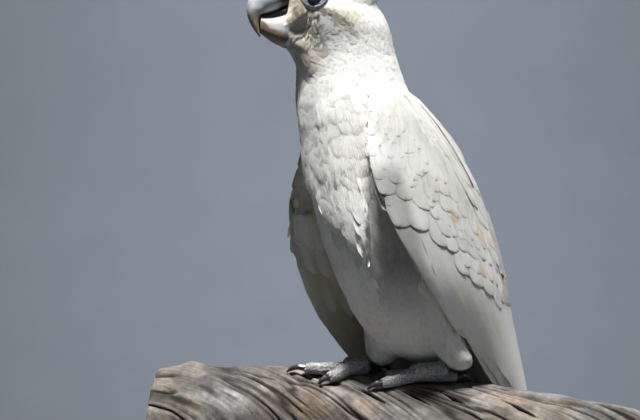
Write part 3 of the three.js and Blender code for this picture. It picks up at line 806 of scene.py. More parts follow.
def loose(tree, roots, flow, size, stretch, breadth, relief, arch, barbs, unwrap, seed, yaw=0.12,
          hang=None, shade=0.1, frayed=0.1, tucked=0.8, slim=1.0):  # fmt: skip
    """Batches of loose feathers: soft domed vanes, with barbs over them and past their tips.

    Each feather's size is the gap between roots, which the other shapes are shares of."""
    draw = np.random.default_rng(seed)
    n = len(roots)
    aside = unit(np.cross(flow, unit(roots)))
    flow = unit(flow + aside * draw.normal(0, yaw, n)[:, None])
    lengths = size * stretch * draw.uniform(0.85, 1.15, n)
    widths = size * breadth * draw.uniform(0.9, 1.12, n)
    rise = size * relief * draw.uniform(0.75, 1.25, n)
    line, outward = marched(tree, roots, flow, lengths * REACH, SOFT_STATIONS - 1)
    if hang is not None:
        share = (np.linspace(0, 1, SOFT_STATIONS) ** 1.6)[None, :, None]
        line = line + hang[:, None] * share
    along = unit(np.gradient(line, axis=1))
    across = unit(np.cross(outward, along))
    outward = unit(np.cross(along, across))

    def place(feather, u, w, raised):
        """Points of the feathers, a share along them, so many millimetres aside and over them."""
        share = np.clip(u / REACH, 0, 1)
        at = share * (SOFT_STATIONS - 1)
        low = np.minimum(at.astype(int), SOFT_STATIONS - 2)
        part = (at - low)[..., None]
        spot, out, side = (
            a[feather, low] * (1 - part) + a[feather, low + 1] * part
            for a in (line, outward, across)
        )
        width = widths[feather]
        dome = arch * width * np.clip(1 - (w / width) ** 2, 0, 1) * np.sin(math.pi * share**1.3)
        height = -SUNK + (rise[feather] + SUNK) * np.interp(u, CLIMB_AT, CLIMB) + dome + raised
        return spot + side * w[..., None] + out * height[..., None]

    # The vanes.
    tint = marking(roots) * (1 + draw.normal(0, 0.012, n))[:, None]
    start = draw.uniform(0, 300, n)
    u = np.broadcast_to(SOFT_ROWS[None, :, None], (n, len(SOFT_ROWS), 5))
    v = np.linspace(-1, 1, 5)[None, None]
    w = v * SOFT_HALF[None, :, None] * widths[:, None, None]
    each = np.arange(n)[:, None, None] + 0 * u.astype(int)
    tuck = -rise[:, None, None] * (0.3 * v**2 * u**2 + tucked * ease((u - 0.7) / 0.3))
    vane = paired(u * lengths[:, None, None] + start[:, None, None], w)
    # Painted shade: each vane is darker towards its root, by the shade's weight, where the feathers
    # over it cover it.
    colours = tint[:, None, None] * (1 - shade * (1 - u[..., None]) ** 0.8)
    places = unwrap(roots)
    batches = [(place(each, u, w, tuck), vane, places, colours)]

    # The barbs, each at three stations along its feather.
    feather = np.repeat(np.arange(n), barbs)
    m = len(feather)
    v = np.tile(np.linspace(-0.92, 0.92, barbs), n) + draw.uniform(-0.5, 0.5, m) * 1.6 / barbs
    tip = (REACH + draw.normal(0, frayed * 0.35, m)) * (1 - 0.3 * np.abs(v) ** 2.2)
    root = tip - draw.uniform(0.5, 0.72, m)
    fan = draw.normal(0, 0.07, m)
    half = slim * 0.5 * widths[feather] * draw.uniform(0.22, 0.34, m)
    stations = np.stack([root, root + (tip - root) * 0.5, tip], 1)[:, BARB_STATIONS]
    lateral = np.stack([0.82 * v, 0.98 * v, 1.02 * v + fan], 1)[:, BARB_STATIONS]
    side = np.array([-0.7, 0, 0.7, -1, 0, 1, 0]) * half[:, None]
    w = lateral * widths[feather][:, None] * 0.92 + side
    over = (0.02 + 0.05 * draw.random(m))[:, None] * np.array([-2, -2, -2, 1, 1, 1, 0.4])
    ridge = 0.25 * half[:, None] * np.array([0, 1, 0, 0, 1, 0, 0])
    each = np.repeat(feather[:, None], BARB_POINTS, 1)
    points = place(each, stations, w, over + ridge)[:, :, None]
    vane = paired(stations * lengths[each] + start[each], w)[:, :, None]
    lighter = 1 + 0.02 * draw.normal(0, 1, m)
    colours = (tint[feather] * lighter[:, None])[:, None, None] * np.ones((BARB_POINTS, 1, 1))
    return [*batches, (points, vane, places[feather], colours)]


# ---- Skin ------------------------------------------------------------------------------------

FLESH = ["head", "neck", "trunk", "tail", "thigh_left", "thigh_right",
         "wing_left_coverts", "wing_right_coverts"]  # fmt: skip
SKIN_VOXEL = 1.4
WING_COAT = 1.4  # how far the skin lies inside the wings' solids
CLOSE_OVER = 1.5, 5.0  # how near a wing lies over skin that needs no feathers


def distance_to(points, *nodes):
    tree = tree_of(*(NODES[node] for node in nodes))
    return np.array([tree.find_nearest(Vector(p))[3] for p in points.tolist()])


def make_skin():
    skin = remeshed("skin", FLESH, SKIN_VOXEL, 16)
    points, normals = points_of(skin.data), normals_of(skin.data)
    off_wings = distance_to(points, *(n for n in FLESH if n.startswith("wing")))
    off_rest = distance_to(points, *(n for n in FLESH if not n.startswith("wing")))
    on_wing = ease(0.5 + (off_rest - off_wings) / 5)
    depth = coat_depth(points) * (1 - on_wing) + WING_COAT * on_wing
    points = points - normals * depth[:, None]
    points += normals * (0.12 * noise(points, 2.5, 2))[:, None]
    moved(skin, points)
    set_tint(skin.data, marking(points) * 0.9)
    down = (900, 5, 0.7), (0.86, 1.0, 700), (0.8, 0.95), (0.6, 0.0008)
    set_material(skin, grained("skin_down", *down, Roughness=0.9, Specular_IOR_Level=0.2))
    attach(skin, "root")
    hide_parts(*(node for node in FLESH if node != "tail"))
    return skin


def sorted_skin():
    """Which part of the bird each triangle of the skin is, and whether a wing lies over it."""
    groups = {node: [node] for node in ("head", "neck", "trunk", "tail")}
    groups["thighs"] = ["thigh_left", "thigh_right"]
    for side in SIDES:
        groups[f"wing_{side}"] = [f"wing_{side}_coverts"]
    away = [distance_to(face_middles, *nodes) for nodes in groups.values()]
    belongs = np.array(list(groups))[np.argmin(away, axis=0)]
    parts = [f"wing_{side}_{part}" for side in SIDES for part in ("coverts", "quills")]
    wings = tree_of(*(NODES[part] for part in parts))
    over = np.zeros(len(face_middles), bool)
    nearest, farthest = CLOSE_OVER
    for i, (p, n) in enumerate(zip(face_middles.tolist(), face_normals.tolist())):
        if not belongs[i].startswith("wing"):
            hit = wings.ray_cast(Vector(p) + Vector(n) * nearest, Vector(n), farthest)
            over[i] = hit[0] is not None
    return belongs, over


skin = make_skin()
skin_points = points_of(skin.data)
skin_faces = triangles_of(skin.data)
skin_tree = tree_of(skin)
skin_corners = skin_points[skin_faces]
face_middles = skin_corners.mean(1)
face_normals = unit(
    np.cross(skin_corners[:, 1] - skin_corners[:, 0], skin_corners[:, 2] - skin_corners[:, 0])
)
skin_part, under_wing = sorted_skin()


# ---- Coat ------------------------------------------------------------------------------------


def round_body(low, high):
    """A map of the body between two heights, by the way round it and the height."""

    def places(points):
        back = np.interp(points[:, 2], BODY_UPS, BODY_BACKS)
        turn = np.arctan2(points[:, 0], -(points[:, 1] - back)) / (2 * math.pi) + 0.5
        return on_map(turn, np.clip((points[:, 2] - low) / (high - low), 0, 1))

    return places


def unwrapped_head(points):
    """A place on a map of the head, from the directions out of its middle."""
    forward, aside, up = in_head(points)
    out = unit(np.stack([forward + 12, aside, up + 5], 1))
    turn = np.arctan2(out[:, 1], out[:, 2]) / (2 * math.pi) + 0.5
    return on_map(turn, 0.5 + np.arcsin(np.clip(out[:, 0], -1, 1)) / math.pi)


contour = vane_material("contour_feathers", 0.07, 0.82)
flight = vane_material("flight_feathers", 0.05, 0.7)
EYE_RING = 9.6


def off_eyes(points, margin):
    rings = [head_point(-0.5, 23 * hand, -1) for hand in SIDES.values()]
    return np.min([np.linalg.norm(points - ring, axis=1) for ring in rings], 0) > margin


def head_spacing(points):
    """Feathers are smallest round the bill and the eyes."""
    from_bill = ease((np.linalg.norm(points - BILL_ROOT, axis=1) - 14) / 50)
    return 1.25 + 1.15 * from_bill


def bare_face(points):
    """The bare skin round the eyes, and where the bill grows."""
    forward, aside, up = in_head(points)
    by_bill = (forward > 13.5) & (np.abs(aside) < 8.5) & (up > -33)
    return ~off_eyes(points, EYE_RING) | by_bill


def body_spacing(points):
    """Feathers grow larger from the neck down to the breast."""
    up = points[:, 2]
    large = 1.9 + 0.7 * ease((218 - up) / 22) + 2.3 * ease((190 - up) / 45)
    return large - 1.6 * ease((92 - up) / 50)


def even(gap):
    return lambda points: np.full(len(points), gap)


def feathered(name, wanted, spacing, unwrap, seed, bare=None, **shape):
    """A coat piece over part of the skin."""
    roots = scattered(wanted & ~under_wing, spacing, seed)
    if bare is not None:
        roots = roots[~bare(roots)]
    settings = {"stretch": 3.3, "breadth": 0.92, "arch": 0.1, "barbs": 9, **shape}
    size = spacing(roots)
    batches = loose(skin_tree, roots, body_flow(roots), size, unwrap=unwrap, seed=seed, **settings)
    coat_piece(name, batches, contour)


def hanging_breast():
    """The breast's lowest feathers, which are longest and hang clear of the belly."""
    roots = scattered((skin_part == "trunk") & ~under_wing, even(2.0), 38)
    above, turn = above_edge(roots)
    roots = roots[(above > 1.2) & (above < 18) & (turn > -17) & (turn < 34)]
    above, turn = above_edge(roots)
    draw = np.random.default_rng(39)
    near = ease((16 - above) / 14)
    out = unit(np.stack([np.sin(np.radians(turn)), -np.cos(np.radians(turn)), 0 * turn], 1))
    hang = out * ((0.12 + 0.3 * near) * draw.uniform(0.9, 1.1, len(roots)))[:, None]
    flow = unit(np.tile([0.0, 0.1, -1.0], (len(roots), 1)))
    batches = loose(
        skin_tree, roots, flow, even(2.2)(roots), 4.6, 0.85, 0.08, 0.05, 11, round_body(0, 190), 39,
        hang=hang, frayed=0.3, slim=0.6,
    )  # fmt: skip
    coat_piece("coat_breast_tips", batches, contour)


def at_gap(roots):
    """The steep slope beside the breast's point, where feathers would stand out."""
    above, turn = above_edge(roots)
    return (np.abs(above + 1.2) < 2.6) & (turn > 25) & (turn < 52) & (roots[:, 2] < 146)


def under_flap(roots):
    above, turn = above_edge(roots)
    return (above > -3.8) & (turn > -17) & (turn < 52)


def make_coat():
    head, neck, trunk, tail, thighs = (
        skin_part == name for name in ("head", "neck", "trunk", "tail", "thighs")
    )
    left, level = face_normals[:, 0] > 0, face_middles[:, 2]
    face = face_middles @ FORWARD > EYE_MIDPOINT @ FORWARD - 12
    front, high = trunk & (face_normals[:, 1] < 0.15), level > 90
    on_head = head_spacing, unwrapped_head
    on_trunk = body_spacing, round_body(0, 190)
    on_thigh = body_spacing, round_body(0, 80)
    fine = {"relief": 0.06, "arch": 0.03, "stretch": 3.8, "slim": 0.75, "frayed": 0.2}
    sleek = {"relief": 0.06, "arch": 0.04, "stretch": 3.8, "slim": 0.8, "barbs": 10}
    broad = {"relief": 0.055, "arch": 0.05, "slim": 0.8, "barbs": 11}
    soft = {"relief": 0.05, "arch": 0.05}
    feathered("coat_face", head & face, *on_head, 21, bare_face, barbs=8, **fine)
    feathered("coat_head", head & ~face, *on_head, 22, bare_face, **fine)
    feathered("coat_neck", neck, body_spacing, round_body(165, 240), 31, **sleek)
    feathered("coat_breast", front & high, *on_trunk, 32, at_gap, **broad)
    feathered("coat_belly", front & ~high, *on_trunk, 33, under_flap, relief=0.05, arch=0.03)
    feathered("coat_back", trunk & ~front, *on_trunk, 34, relief=0.06, arch=0.05)
    hanging_breast()
    feathered("coat_thigh_left", thighs & left, *on_thigh, 35, **soft)
    feathered("coat_thigh_right", thighs & ~left, *on_thigh, 36, **soft)
    feathered("coat_vent", tail & (level > -12), body_spacing, round_body(-40, 80), 37, relief=0.1)


make_coat()


# [forward, half width, count, length] of each row of the crest's plumes
CREST_ROWS = [(13, 3, 4, 20), (9, 5.5, 6, 24), (4, 7, 7, 29), (-1, 8, 7, 33), (-6, 8, 6, 34),
              (-11, 6.5, 5, 33)]  # fmt: skip


def make_crest():
    """Long soft feathers that lie folded back over the crown, their tips just clear of the nape."""
    roots, lengths = [], []
    draw = np.random.default_rng(41)
    for forward, spread, count, length in CREST_ROWS:
        for aside in np.linspace(-spread, spread, count):
            probe = head_point(forward + draw.normal(0, 0.5), aside + draw.normal(0, 0.4), 60)
            roots.append(np.array(skin_tree.ray_cast(Vector(probe), Vector((0, 0, -1)))[0]))
            lengths.append(length * draw.uniform(0.9, 1.04) * (1 - 0.012 * abs(aside)))
    roots, lengths = np.array(roots), np.array(lengths)
    aside = (roots - EYE_MIDPOINT) @ ASIDE
    flow = unit(-FORWARD - ASIDE * (0.012 * aside)[:, None])
    hang = UP * (0.5 * ease((lengths - 20) / 14))[:, None]
    size = even(3.4)(roots)
    batches = loose(
        skin_tree, roots, flow, size, lengths / size / REACH, 0.85, 0.2, 0.1, 16, unwrapped_head,
        42, yaw=0.03, hang=hang, shade=0.03, frayed=0.12, tucked=0.3, slim=0.7,
    )  # fmt: skip
    crest = coat_piece("crest_feathers", batches, contour)
    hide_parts("crest")


make_crest()

# ---- Long feathers ---------------------------------------------------------------------------

SHAFT_PROFILE = [0.6, 0.82, 0.95, 1.0, 1.0]
TIP_TURN = np.linspace(0, math.radians(84), 7)  # round a vane's tip


def vane_outline(widths, lengths, blunt, draw):
    """Shares along feathers and their half widths' shares there, for long vanes with round tips."""
    tip = np.clip(blunt * widths / lengths, 0.03, 0.5)[:, None]
    shaft = np.linspace(0, 1, 6)[None, :-1] * (1 - tip)
    u = np.concatenate([shaft, (1 - tip) + tip * np.sin(TIP_TURN)], 1)
    profile = np.tile(np.concatenate([SHAFT_PROFILE, np.cos(TIP_TURN) ** 0.9]), (len(widths), 1))
    return u, profile * (1 + draw.normal(0, 0.015, profile.shape))


def marked(grid):
    return marking(grid.reshape(-1, 3)).reshape(grid.shape)


def shaft_ridge(v):
    return np.exp(-((v / 0.16) ** 2))


# [up, back, half width, half thickness]
TAIL = [[62, 34, 17, 11], [38, 44, 18, 13], [14, 55, 16.5, 10], [-10, 65.5, 16, 6],
        [-34, 75.5, 18, 4], [-58, 84.5, 21, 2.8], [-72, 89.5, 20, 2.2],
        [-77, 91.5, 15, 1.6]]  # fmt: skip
TAIL_STATIONS = np.linspace(0, 1, 300)
TAIL_HEIGHTS = between(TAIL, TAIL_STATIONS)[:, 0]
TAIL_TIPS = [(hand * x, k) for k, x in enumerate((0.1, 0.27, 0.45, 0.62, 0.77, 0.88))
             for hand in (-1, 1)]  # fmt: skip
TAIL_LENGTH, TAIL_WIDTH, TAIL_END = 92.0, 7.6, -76.0


def tail_row(up):
    return between(TAIL, np.interp(-up.ravel(), -TAIL_HEIGHTS, TAIL_STATIONS))


def tail_surface(across, up, raised, face):
    """Points of the tail's upper face (1) or under face (-1), across from -1 to 1."""
    row = tail_row(up)
    x = across.ravel()
    thick = row[:, 3] * (1 - np.clip(np.abs(x), 0, 1) ** 2.4) ** (1 / 2.4)
    flat = np.stack([x * row[:, 2], row[:, 1] + face * (thick + raised.ravel()), up.ravel()], 1)
    return flat.reshape(*across.shape, 3)


def tail_batch(face, seed):
    draw = np.random.default_rng(seed)
    tip_x, order = np.array(TAIL_TIPS).T
    n = len(order)
    tips = TAIL_END + 1.1 * order + draw.normal(0, 0.7, n)
    if face < 0:
        order = 5 - order
    u, profile = vane_outline(np.full(n, TAIL_WIDTH), TAIL_LENGTH, 1.1, draw)
    half = profile * TAIL_WIDTH
    up = tips[:, None] + TAIL_LENGTH * (1 - u)
    x = tip_x[:, None] * (0.45 + 0.55 * u)
    v = np.linspace(-1, 1, 9)
    across = x[:, :, None] + (half / tail_row(up)[:, 2].reshape(up.shape))[:, :, None] * v
    raised = (0.35 - 0.22 * order)[:, None, None] - 1.2 * (1 - u[:, :, None]) + 0.3 * (1 - v**2)
    raised = raised + 0.12 * shaft_ridge(v)
    grid = tail_surface(np.clip(across, -1.02, 1.02), up[:, :, None] + 0 * across, raised, face)
    if face > 0:
        grid = grid[:, :, ::-1]
    # Painted shade: each feather is darker towards its root, where the others cover it.
    colours = marked(grid) * (1 - 0.1 * (1 - u[:, :, None, None]))
    along = u * TAIL_LENGTH + draw.uniform(0, 300, (n, 1))
    vane = paired(along[:, :, None], half[:, :, None] * v)
    return grid, vane, on_map(tip_x / 2 + 0.5, np.full(n, 0.2 + 0.3 * (face > 0))), colours


tail = coat_piece("tail_feathers", [tail_batch(1, 61), tail_batch(-1, 62)], flight)
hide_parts("tail")


# ---- Wings -----------------------------------------------------------------------------------

WING_LOW, WING_TALL = -62, 250
FRONT_LIMIT, OUTER_LIMIT, UNDER_LIMIT = 0.0, 1.03, 0.985  # of feathers, across the wing


def wing_vanes(side, under, tips, roots, widths, heights, tilt, seed, arch=0.5, blunt=1.0,
               rim=0.0):  # fmt: skip
    """A batch of feathers on a wing's face, from (across, up) of their tips and roots."""
    draw = np.random.default_rng(seed)
    tips, roots, widths, heights = (np.asarray(a, float) for a in (tips, roots, widths, heights))
    n = len(tips)
    length = np.abs(roots[:, 1] - tips[:, 1]) + 1e-6
    u, profile = vane_outline(widths, length, blunt, draw)
    v = np.linspace(-1, 1, 9)
    v = np.sign(v) * np.abs(v) ** 1.15
    bow = draw.normal(0, 0.01, n)[:, None] * np.sin(math.pi * u)
    across = roots[:, :1] + (tips - roots)[:, :1] * u + bow
    up = roots[:, 1:] + (tips - roots)[:, 1:] * u
    row = wing_row(up.ravel())
    chord = np.linalg.norm(row[:, 3:5] - row[:, 1:3], axis=1).reshape(up.shape)
    half = (profile * widths[:, None])[:, :, None] * v
    t = across[:, :, None] + (profile * widths[:, None] / chord)[:, :, None] * v
    lean = (across[:, 1:2] - across[:, :1]) * chord[:, :1] / (up[:, :1] - up[:, 1:2] + 1e-9)
    z = up[:, :, None] + 0 * t + half * lean[:, :, None] * 0.5
    t = np.clip(t, FRONT_LIMIT, UNDER_LIMIT if under else OUTER_LIMIT)
    low, high = heights[:, :1], heights[:, 1:]
    raised = (low + (high - low) * u**1.1)[:, :, None] + tilt * v * (0.4 + 0.6 * u[:, :, None])
    raised = raised + arch * (1 - v**2) * profile[:, :, None] + 0.18 * shaft_ridge(v)
    grid = wing_surface(side, under, t, z, raised)
    if (side == "right") != under:
        grid, v = grid[:, :, ::-1], v[::-1]
    u = u[:, :, None]
    # Painted shade: each vane is darker towards its root, and by the rim's weight its edges and tip
    # carry painted shadow lines.
    edge = np.maximum(np.abs(v) ** 6 * ease((u - 0.3) / 0.2), ease((u - 0.95) / 0.05))
    shade = (1 - 0.12 * (1 - u) ** 1.2) * (1 - rim * edge)
    colours = marked(grid) * (shade * (1 + draw.normal(0, 0.015, n))[:, None, None])[..., None]
    along = u * length[:, None, None] + draw.uniform(0, 300, (n, 1))[:, None]
    vane = paired(along, (profile * widths[:, None])[:, :, None] * v)
    places = on_map(np.clip(roots[:, 0], 0, 1), (roots[:, 1] - WING_LOW) / WING_TALL)
    return grid, vane, places, colours


# How high the greater coverts' tips reach: across the wing, and up
TIP_LINE = [0, 0.05, 0.17, 0.26, 0.33, 0.5, 0.75, 1.0], [92, 90, 88, 75, 61, 53, 47, 45]
# Rows of coverts: [tips above the greater coverts' at the leading edge, and behind, half width,
# length]
COVERT_ROWS = [(0, 0, 8.2, 40), (9.5, 10.5, 6.4, 30), (20, 22, 7.8, 34), (25, 32, 6.4, 30),
               (28.5, 42, 7.0, 30), (36, 58, 6.5, 27), (43, 73, 6.4, 26), (50, 86, 6.2, 25),
               (57, 98, 6.0, 24), (64, 109, 5.8, 22), (71, 119, 5.5, 20),
               (78, 128, 5.2, 18)]  # fmt: skip
SHORT_ROWS = {1: 0.26, 3: 0.26}  # where rows that don't reach the leading edge start
TOP_OF_WING = 185.5


def covert_batches(side, seed):
    draw = np.random.default_rng(seed)
    batches = []
    for k, (front, behind, width, length) in enumerate(COVERT_ROWS):
        tips, roots, widths, heights = [], [], [], []
        across = 0.02 + 0.04 * (k % 2)
        while across < 1.0:
            slack = ease((across - 0.3) / 0.3)
            level = np.interp(across, *TIP_LINE) + front + (behind - front) * across
            level += draw.normal(0, 0.7 + 1.2 * slack)
            half = width * (1 + 0.2 * slack) * draw.uniform(0.95, 1.07)
            lead_x, lead_y, trail_x, trail_y = wing_row(np.array([min(level, 185)]))[0, 1:5]
            chord = math.hypot(trail_x - lead_x, trail_y - lead_y)
            if level < 181 and SHORT_ROWS.get(k, 0) <= across < soft_edge(level + 4) + 0.05:
                root = min(level + length * (1 + 0.25 * slack), TOP_OF_WING)
                shift = 0.0042 * (root - level) * (1 - 0.75 * across)
                tips.append((across, level))
                roots.append((min(across + shift, 1.0), root))
                widths.append(half)
                low, step = -1.2 + 0.02 * k, 0.34 - 0.22 * ease((level - 105) / 35)
                heights.append((low - step, low + step + draw.normal(0, 0.03)))
            across += 1.42 * half / max(chord, 20) * draw.uniform(0.95, 1.06)
        if tips:
            row = tips, roots, widths, heights
            batches.append(wing_vanes(side, False, *row, -0.05, seed * 31 + k, 0.14, rim=0.24))
    return batches


def scapular_batches(side, seed):
    """The scapulars' rearmost feathers, whose edges, with painted shadow on them, make a line over
    the wing's rear edge.
    """
    levels = np.array([150, 136, 122, 108, 95, 83, 72], float)
    n = len(levels)
    tips = np.stack([scapular_edge(levels) - 0.055, levels], 1)
    roots = np.stack([scapular_edge(levels + 30) - 0.09, np.minimum(levels + 34, 184)], 1)
    heights = np.stack([np.full(n, -1.3), [-1.1, -0.6, -0.3, -0.15, -0.1, -0.1, -0.2]], 1)
    row = tips, roots, np.linspace(5.5, 7.5, n), heights
    batches = [wing_vanes(side, False, *row, 0.25, seed, 0.2, 1.5)]
    levels = np.array([138, 118, 98, 78, 60, 44], float)
    n = len(levels)
    tips = np.stack([np.full(n, 0.965), levels], 1)
    roots = np.stack([np.full(n, 0.95), np.minimum(levels + 46, 184)], 1)
    row = tips, roots, np.full(n, 5.5), np.tile([[-1.5, -0.95]], (n, 1))
    return [*batches, wing_vanes(side, False, *row, 0.1, seed + 1, 0.2, 1.8)]


# Tips of the long feathers: [across, up]
HAND_TIPS = [(0.35, -61), (0.42, -57), (0.45, -49), (0.42, -39), (0.36, -28), (0.3, -16),
             (0.24, -4), (0.16, 8)]  # fmt: skip
ARM_TIPS = [(0.04, 28), (0.17, 21), (0.3, 6), (0.42, -5), (0.53, -13), (0.63, -19), (0.73, -23),
            (0.83, -26), (0.93, -28)]  # fmt: skip
UNDER_TIPS = [(0.5, -60), (0.3, -50), (0.7, -48), (0.15, -34), (0.85, -30), (0.2, -10), (0.5, -20),
              (0.9, -5), (0.1, 22), (0.4, 6), (0.7, 0)]  # fmt: skip
UNDER_COVERTS = [(62, 8, 30), (84, 6.5, 26), (100, 5.5, 22)]  # [level, half width, length] of rows


def flight_batches(side, seed):
    """The long feathers: the hand's, to the wing's tip, under the arm's, which step up forward."""
    n = len(HAND_TIPS)
    roots = [(0.05 + 0.025 * i, 96) for i in range(n)]
    heights = [(-2.2 + 0.05 * i, -2.5 + 0.12 * i) for i in range(n)]
    row = HAND_TIPS, roots, np.linspace(8.5, 10, n), heights
    batches = [wing_vanes(side, False, *row, -0.2, seed + 1, 0.3, 1.6)]
    n = len(ARM_TIPS)
    roots = [(t + 0.04, max(np.interp(t, *TIP_LINE) + 26, 70)) for t, _ in ARM_TIPS]
    heights = [(-1.55 + 0.04 * i, -1.4 + 0.08 * i) for i in range(n)]
    row = ARM_TIPS, roots, np.linspace(10.5, 12.5, n), heights
    return [*batches, wing_vanes(side, False, *row, -0.2, seed + 2, 0.15, 1.2)]


def under_batches(side, seed):
    """The wing's under face: long feathers, with rows of small coverts over their roots."""
    n = len(UNDER_TIPS)
    roots = [(0.06 + 0.88 * t, 100) for t, _ in UNDER_TIPS]
    row = UNDER_TIPS, roots, np.full(n, 11.5), [(0.0, -0.5 + 0.05 * i) for i in range(n)]
    batches = [wing_vanes(side, True, *row, -0.2, seed + 5, 0.2)]
    for k, (level, width, length) in enumerate(UNDER_COVERTS):
        across = np.arange(0.04 + 0.05 * (k % 2), 0.96 - 0.07 * k, 1.5 * width / 120)
        n = len(across)
        tips = np.stack([across, np.full(n, level) - 8 * across], 1)
        row = tips, tips + [0.02, length], np.full(n, width), np.tile([[-0.2, 0.7]], (n, 1))
        batches.append(wing_vanes(side, True, *row, -0.2, seed + 6 + k))
    return batches


def wing_map(points):
    across, up, _ = in_wing(points)
    return on_map(np.clip((across + 0.1) / 1.2, 0, 1), np.clip((up - WING_LOW) / WING_TALL, 0, 1))


def along_wing(points):
    """Down the wing, the way its leading edge runs."""
    up = np.clip(points[:, 2], -50, 176)
    slope = (wing_row(up - 8)[:, 2] - wing_row(up + 8)[:, 2]) / 16
    return unit(np.stack([0 * up, np.clip(slope, 0.1, 1.2), -np.ones(len(up))], 1))


def scapular_spacing(points):
    """Loose scapulars grow larger down the wing."""
    return 3.4 + 1.6 * ease((150 - points[:, 2]) / 60)


def wing_plumes(side, seed):
    """Loose feathers on the wing's skin: small round its leading edge, soft scapulars behind."""
    mine = skin_part == f"wing_{side}"
    across, up, off = in_wing(face_middles)
    edge = mine & (up > 96) & ((across < 0.035) | (off < -4.0)) & (across < 0.5)
    gap = even(2.3)
    roots = scattered(edge, gap, seed)
    shape = 4.2, 0.85, 0.12, 0.08, 6, wing_map, seed
    batches = loose(skin_tree, roots, along_wing(roots), gap(roots), *shape)
    soft = mine & (off > -3.5) & (across > soft_edge(up) - 0.02) & (across < scapular_edge(up))
    roots = scattered(soft & (up > 74), scapular_spacing, seed + 1)
    flow = unit(along_wing(roots) + [0, 0.12, 0])
    shape = 3.6, 0.95, 0.12, 0.07, 9, wing_map, seed + 1
    size = scapular_spacing(roots)
    return batches + loose(skin_tree, roots, flow, size, *shape, shade=0.06)


def make_tuft():
    """A few feathers that stand off the right wing's leading edge."""
    draw = np.random.default_rng(75)
    n = 30
    up, across = draw.uniform(104, 122, n), draw.uniform(0.0, 0.05, n)
    roots = wing_surface("right", False, across, up, np.full(n, -0.5))
    hang = np.array([-1.6, -2.6, 0.0]) * draw.uniform(0.5, 1.2, n)[:, None]
    tree = tree_of(bpy.data.objects["wing_right_long"])
    shape = 4.4, 0.9, 0.14, 0.1, 10, wing_map, 76
    flow, size = along_wing(roots), even(2.6)(roots)
    batches = loose(tree, roots, flow, size, *shape, yaw=0.25, hang=hang, frayed=0.4)
    coat_piece("wing_right_tuft", batches, contour)


for number, side in enumerate(SIDES):
    small = [*covert_batches(side, 50 + number), *scapular_batches(side, 130 + number)]
    coat_piece(f"wing_{side}_small", small, contour)
    coat_piece(f"wing_{side}_plumes", wing_plumes(side, 70 + number), contour)
    batches = [*flight_batches(side, 90 + number), *under_batches(side, 110 + number)]
    quills = coat_piece(f"wing_{side}_long", batches, flight)
    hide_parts(f"wing_{side}_quills")
make_tuft()

# ---- Eyes and the bare skin round them -------------------------------------------------------

EYE_RADIUS = 6.0
PUPIL = 0.34  # radians, from the middle of the gaze
IRIS = 0.82
LID = 4.5  # from the middle of the gaze to the lid's thick rim
RING_STATIONS = [3.4, 3.75, 3.95, 4.15, *np.linspace(4.35, 10.6, 34)]


def polar_faces(rings, count, hand):
    """Faces between rings of points, facing out of that side of the head."""
    quads = ring_faces(rings, count)[:, [0, 3, 2, 1]]
    return quads if hand > 0 else quads[:, ::-1]


def make_eye(side):
    hand = SIDES[side]
    turns, count = np.radians(np.linspace(1.2, 172, 46)), 56
    around = np.linspace(0, 2 * math.pi, count, endpoint=False)
    turn, angle = np.meshgrid(turns, around, indexing="ij")
    radius = EYE_RADIUS + 0.35 * bell(turn, 0, 0.6)
    points = head_point(0, hand * EYE_ASIDE, 0) + (radius * np.cos(turn))[..., None] * ASIDE * hand
    points = points + (radius * np.sin(turn) * np.cos(angle))[..., None] * FORWARD
    points = points + (radius * np.sin(turn) * np.sin(angle))[..., None] * UP
    turn, angle = turn.ravel(), angle.ravel()
    spokes = noise(np.stack([np.cos(angle) * 9, np.sin(angle) * 9, turn * 3], 1), 1.0, 5)
    iris = srgb(50, 34, 26) * (0.75 + 0.25 * spokes)[:, None]
    tint = np.where((turn < IRIS)[:, None], iris, srgb(26, 20, 18))
    tint = np.where((turn < PUPIL)[:, None], srgb(6, 6, 7), tint)
    first, last = np.arange(count), np.arange(count) + (len(turns) - 1) * count
    caps = [(first[0], first[i], first[i + 1]) for i in range(1, count - 1)]
    caps += [(last[0], last[i + 1], last[i]) for i in range(1, count - 1)]
    caps = np.array(caps)[:, ::hand]
    n = Nodes("eye_gloss", Roughness=0.05, Coat_Weight=1.0, Coat_Roughness=0.02, IOR=1.45)
    gloss = n.finish(n.tinted(0.8, 1.1, 1800))
    quads = polar_faces(len(turns), count, hand)
    eye = make_mesh(f"eye_{side}_ball", points.reshape(-1, 3), quads, caps, gloss, tint)
    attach(eye, "root")
    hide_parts(f"eye_{side}")


